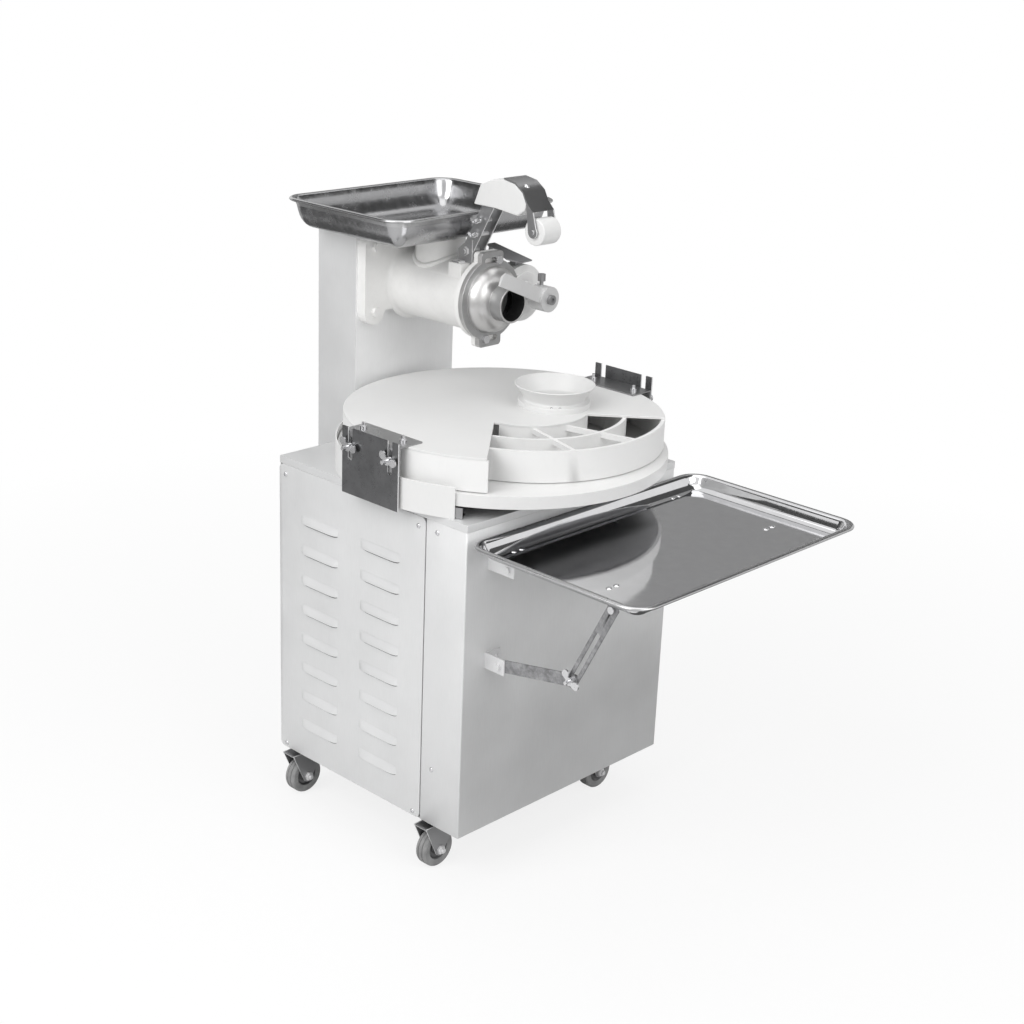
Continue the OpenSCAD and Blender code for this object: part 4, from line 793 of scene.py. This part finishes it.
def world_light():
    """White surroundings for the camera and for reflections, dimmer as a light."""
    world = bpy.data.worlds.new("studio")
    world.use_nodes = True
    tree = world.node_tree
    tree.nodes.clear()
    out = tree.nodes.new("ShaderNodeOutputWorld")
    seen = tree.nodes.new("ShaderNodeBackground")
    seen.inputs[0].default_value = (1, 1, 1, 1)
    seen.inputs[1].default_value = 1.0
    light = tree.nodes.new("ShaderNodeBackground")
    light.inputs[0].default_value = (1, 1, 1, 1)
    light.inputs[1].default_value = 0.42
    path = tree.nodes.new("ShaderNodeLightPath")
    both = tree.nodes.new("ShaderNodeMath")
    both.operation = "MAXIMUM"
    tree.links.new(path.outputs["Is Camera Ray"], both.inputs[0])
    tree.links.new(path.outputs["Is Glossy Ray"], both.inputs[1])
    all_three = tree.nodes.new("ShaderNodeMath")
    all_three.operation = "MAXIMUM"
    tree.links.new(both.outputs[0], all_three.inputs[0])
    tree.links.new(path.outputs["Is Transmission Ray"], all_three.inputs[1])
    mix = tree.nodes.new("ShaderNodeMixShader")
    tree.links.new(all_three.outputs[0], mix.inputs[0])
    tree.links.new(light.outputs[0], mix.inputs[1])
    tree.links.new(seen.outputs[0], mix.inputs[2])
    tree.links.new(mix.outputs[0], out.inputs[0])
    scene.world = world


def area(name, place, target, size, energy):
    """Soft lamp aimed at a place."""
    data = bpy.data.lights.new(name, "AREA")
    data.shape = "RECTANGLE"
    data.size, data.size_y = size
    data.energy = energy
    obj = bpy.data.objects.new(name, data)
    obj.location = place
    obj.rotation_euler = (Vector(target) - Vector(place)).to_track_quat("-Z", "Y").to_euler()
    scene.collection.objects.link(obj)


def card(name, centre, normal, size, shade):
    """Studio card that only shows in reflections."""
    mesh = bpy.data.meshes.new(name)
    bm = bmesh.new()
    n = Vector(normal).normalized()
    u = n.cross(Vector(UP))
    u = u.normalized() if u.length > 1e-6 else Vector((1, 0, 0))
    v = n.cross(u)
    c = Vector(centre)
    corners = ((-1, -1), (1, -1), (1, 1), (-1, 1))
    bm.faces.new([bm.verts.new(c + u * a * size[0] / 2 + v * b * size[1] / 2) for a, b in corners])
    bm.to_mesh(mesh)
    bm.free()
    g = Graph(name)
    g.set(Base_Color=(shade, shade, shade, 1), Roughness=0.9)
    mesh.materials.append(g.mat)
    obj = bpy.data.objects.new(name, mesh)
    scene.collection.objects.link(obj)
    obj.visible_camera = False
    obj.visible_diffuse = False
    obj.visible_shadow = False


def floor():
    """Pale floor that keeps the shadow close to the machine and goes over to white further out."""
    mesh = bpy.data.meshes.new("floor")
    bm = bmesh.new()
    reach = 30
    corners = ((-reach, -reach), (reach, -reach), (reach, reach), (-reach, reach))
    bm.faces.new([bm.verts.new(Vector((x, y, 0))) for x, y in corners])
    bm.to_mesh(mesh)
    bm.free()
    mat = bpy.data.materials.new("floor")
    mat.use_nodes = True
    tree = mat.node_tree
    out = tree.nodes["Material Output"]
    bsdf = tree.nodes["Principled BSDF"]
    bsdf.inputs["Base Color"].default_value = (0.9, 0.9, 0.9, 1)
    bsdf.inputs["Roughness"].default_value = 0.9
    bsdf.inputs["Specular IOR Level"].default_value = 0.1
    glow = tree.nodes.new("ShaderNodeEmission")
    glow.inputs[1].default_value = 1.0
    path = tree.nodes.new("ShaderNodeLightPath")
    coord = tree.nodes.new("ShaderNodeTexCoord")
    away = tree.nodes.new("ShaderNodeVectorMath")
    away.operation = "LENGTH"
    tree.links.new(coord.outputs["Object"], away.inputs[0])
    fade = tree.nodes.new("ShaderNodeMapRange")
    fade.inputs["From Min"].default_value = 0.7
    fade.inputs["From Max"].default_value = 2.6
    fade.inputs["To Min"].default_value = 0.82
    fade.inputs["To Max"].default_value = 1.0
    tree.links.new(away.outputs["Value"], fade.inputs["Value"])
    share = tree.nodes.new("ShaderNodeMath")
    share.operation = "MULTIPLY"
    tree.links.new(path.outputs["Is Camera Ray"], share.inputs[0])
    tree.links.new(fade.outputs[0], share.inputs[1])
    mix = tree.nodes.new("ShaderNodeMixShader")
    tree.links.new(share.outputs[0], mix.inputs[0])
    tree.links.new(bsdf.outputs[0], mix.inputs[1])
    tree.links.new(glow.outputs[0], mix.inputs[2])
    tree.links.new(mix.outputs[0], out.inputs[0])
    mesh.materials.append(mat)
    obj = bpy.data.objects.new("floor", mesh)
    scene.collection.objects.link(obj)


# Lamps: place, aim, size in metres, watts; cards: place, facing, size, shade
ON_FLOOR = 0.012
world_light()
floor()
area("key", (-3.2, 0.2, 3.2), (0, 0.1, 0.8), (2.6, 2.6), 94)
area("top", (0.3, -0.2, 4.0), (0, 0, 0.8), (3.0, 3.0), 30)
area("front", (-0.2, -3.1, 2.6), (0.1, 0.2, 1.0), (2.5, 2.0), 42)
card("card_back_right", (3.0, 2.1, 2.2), (-0.74, -0.57, -0.35), (3.4, 3.2), 0.42)
card("card_front_right", (0.3, -0.85, ON_FLOOR), UP, (1.1, 1.4), 0.1)
card("card_back_wing", (-2.2, 3.4, 2.0), (0.651, -0.747, -0.139), (2.4, 1.3), 0.12)
card("card_left_back", (-1.5, 2.45, ON_FLOOR), UP, (1.3, 1.2), 0.12)
card("card_behind", (0.1, 1.6, ON_FLOOR), UP, (2.2, 1.4), 0.15)
card("card_right_floor", (1.4, 0.3, ON_FLOOR), UP, (1.3, 1.6), 0.15)
card("card_over_right", (1.43, -0.5, 2.4), (-0.69, 0.41, -0.6), (1.7, 1.5), 0.1)
card("card_over_back", (-0.87, 1.6, 2.43), (0.45, -0.64, -0.62), (1.7, 1.5), 0.1)

# Camera, solved from the photo's straight edges

cam_data = bpy.data.cameras.new("camera")
cam_data.sensor_width = 36.0
cam_data.lens = 61.54
cam = bpy.data.objects.new("camera", cam_data)
scene.collection.objects.link(cam)
right_way = (0.694201, -0.718726, 0.038954)
up_way = (0.218373, 0.261872, 0.940072)
back_way = (-0.685856, -0.644093, 0.338742)
turn = Matrix((right_way, up_way, back_way)).transposed().to_4x4()
cam.matrix_world = Matrix.Translation(P(-2424.042, -2374.11, 1862.49)) @ turn
scene.camera = cam
scene.view_settings.view_transform = "Standard"
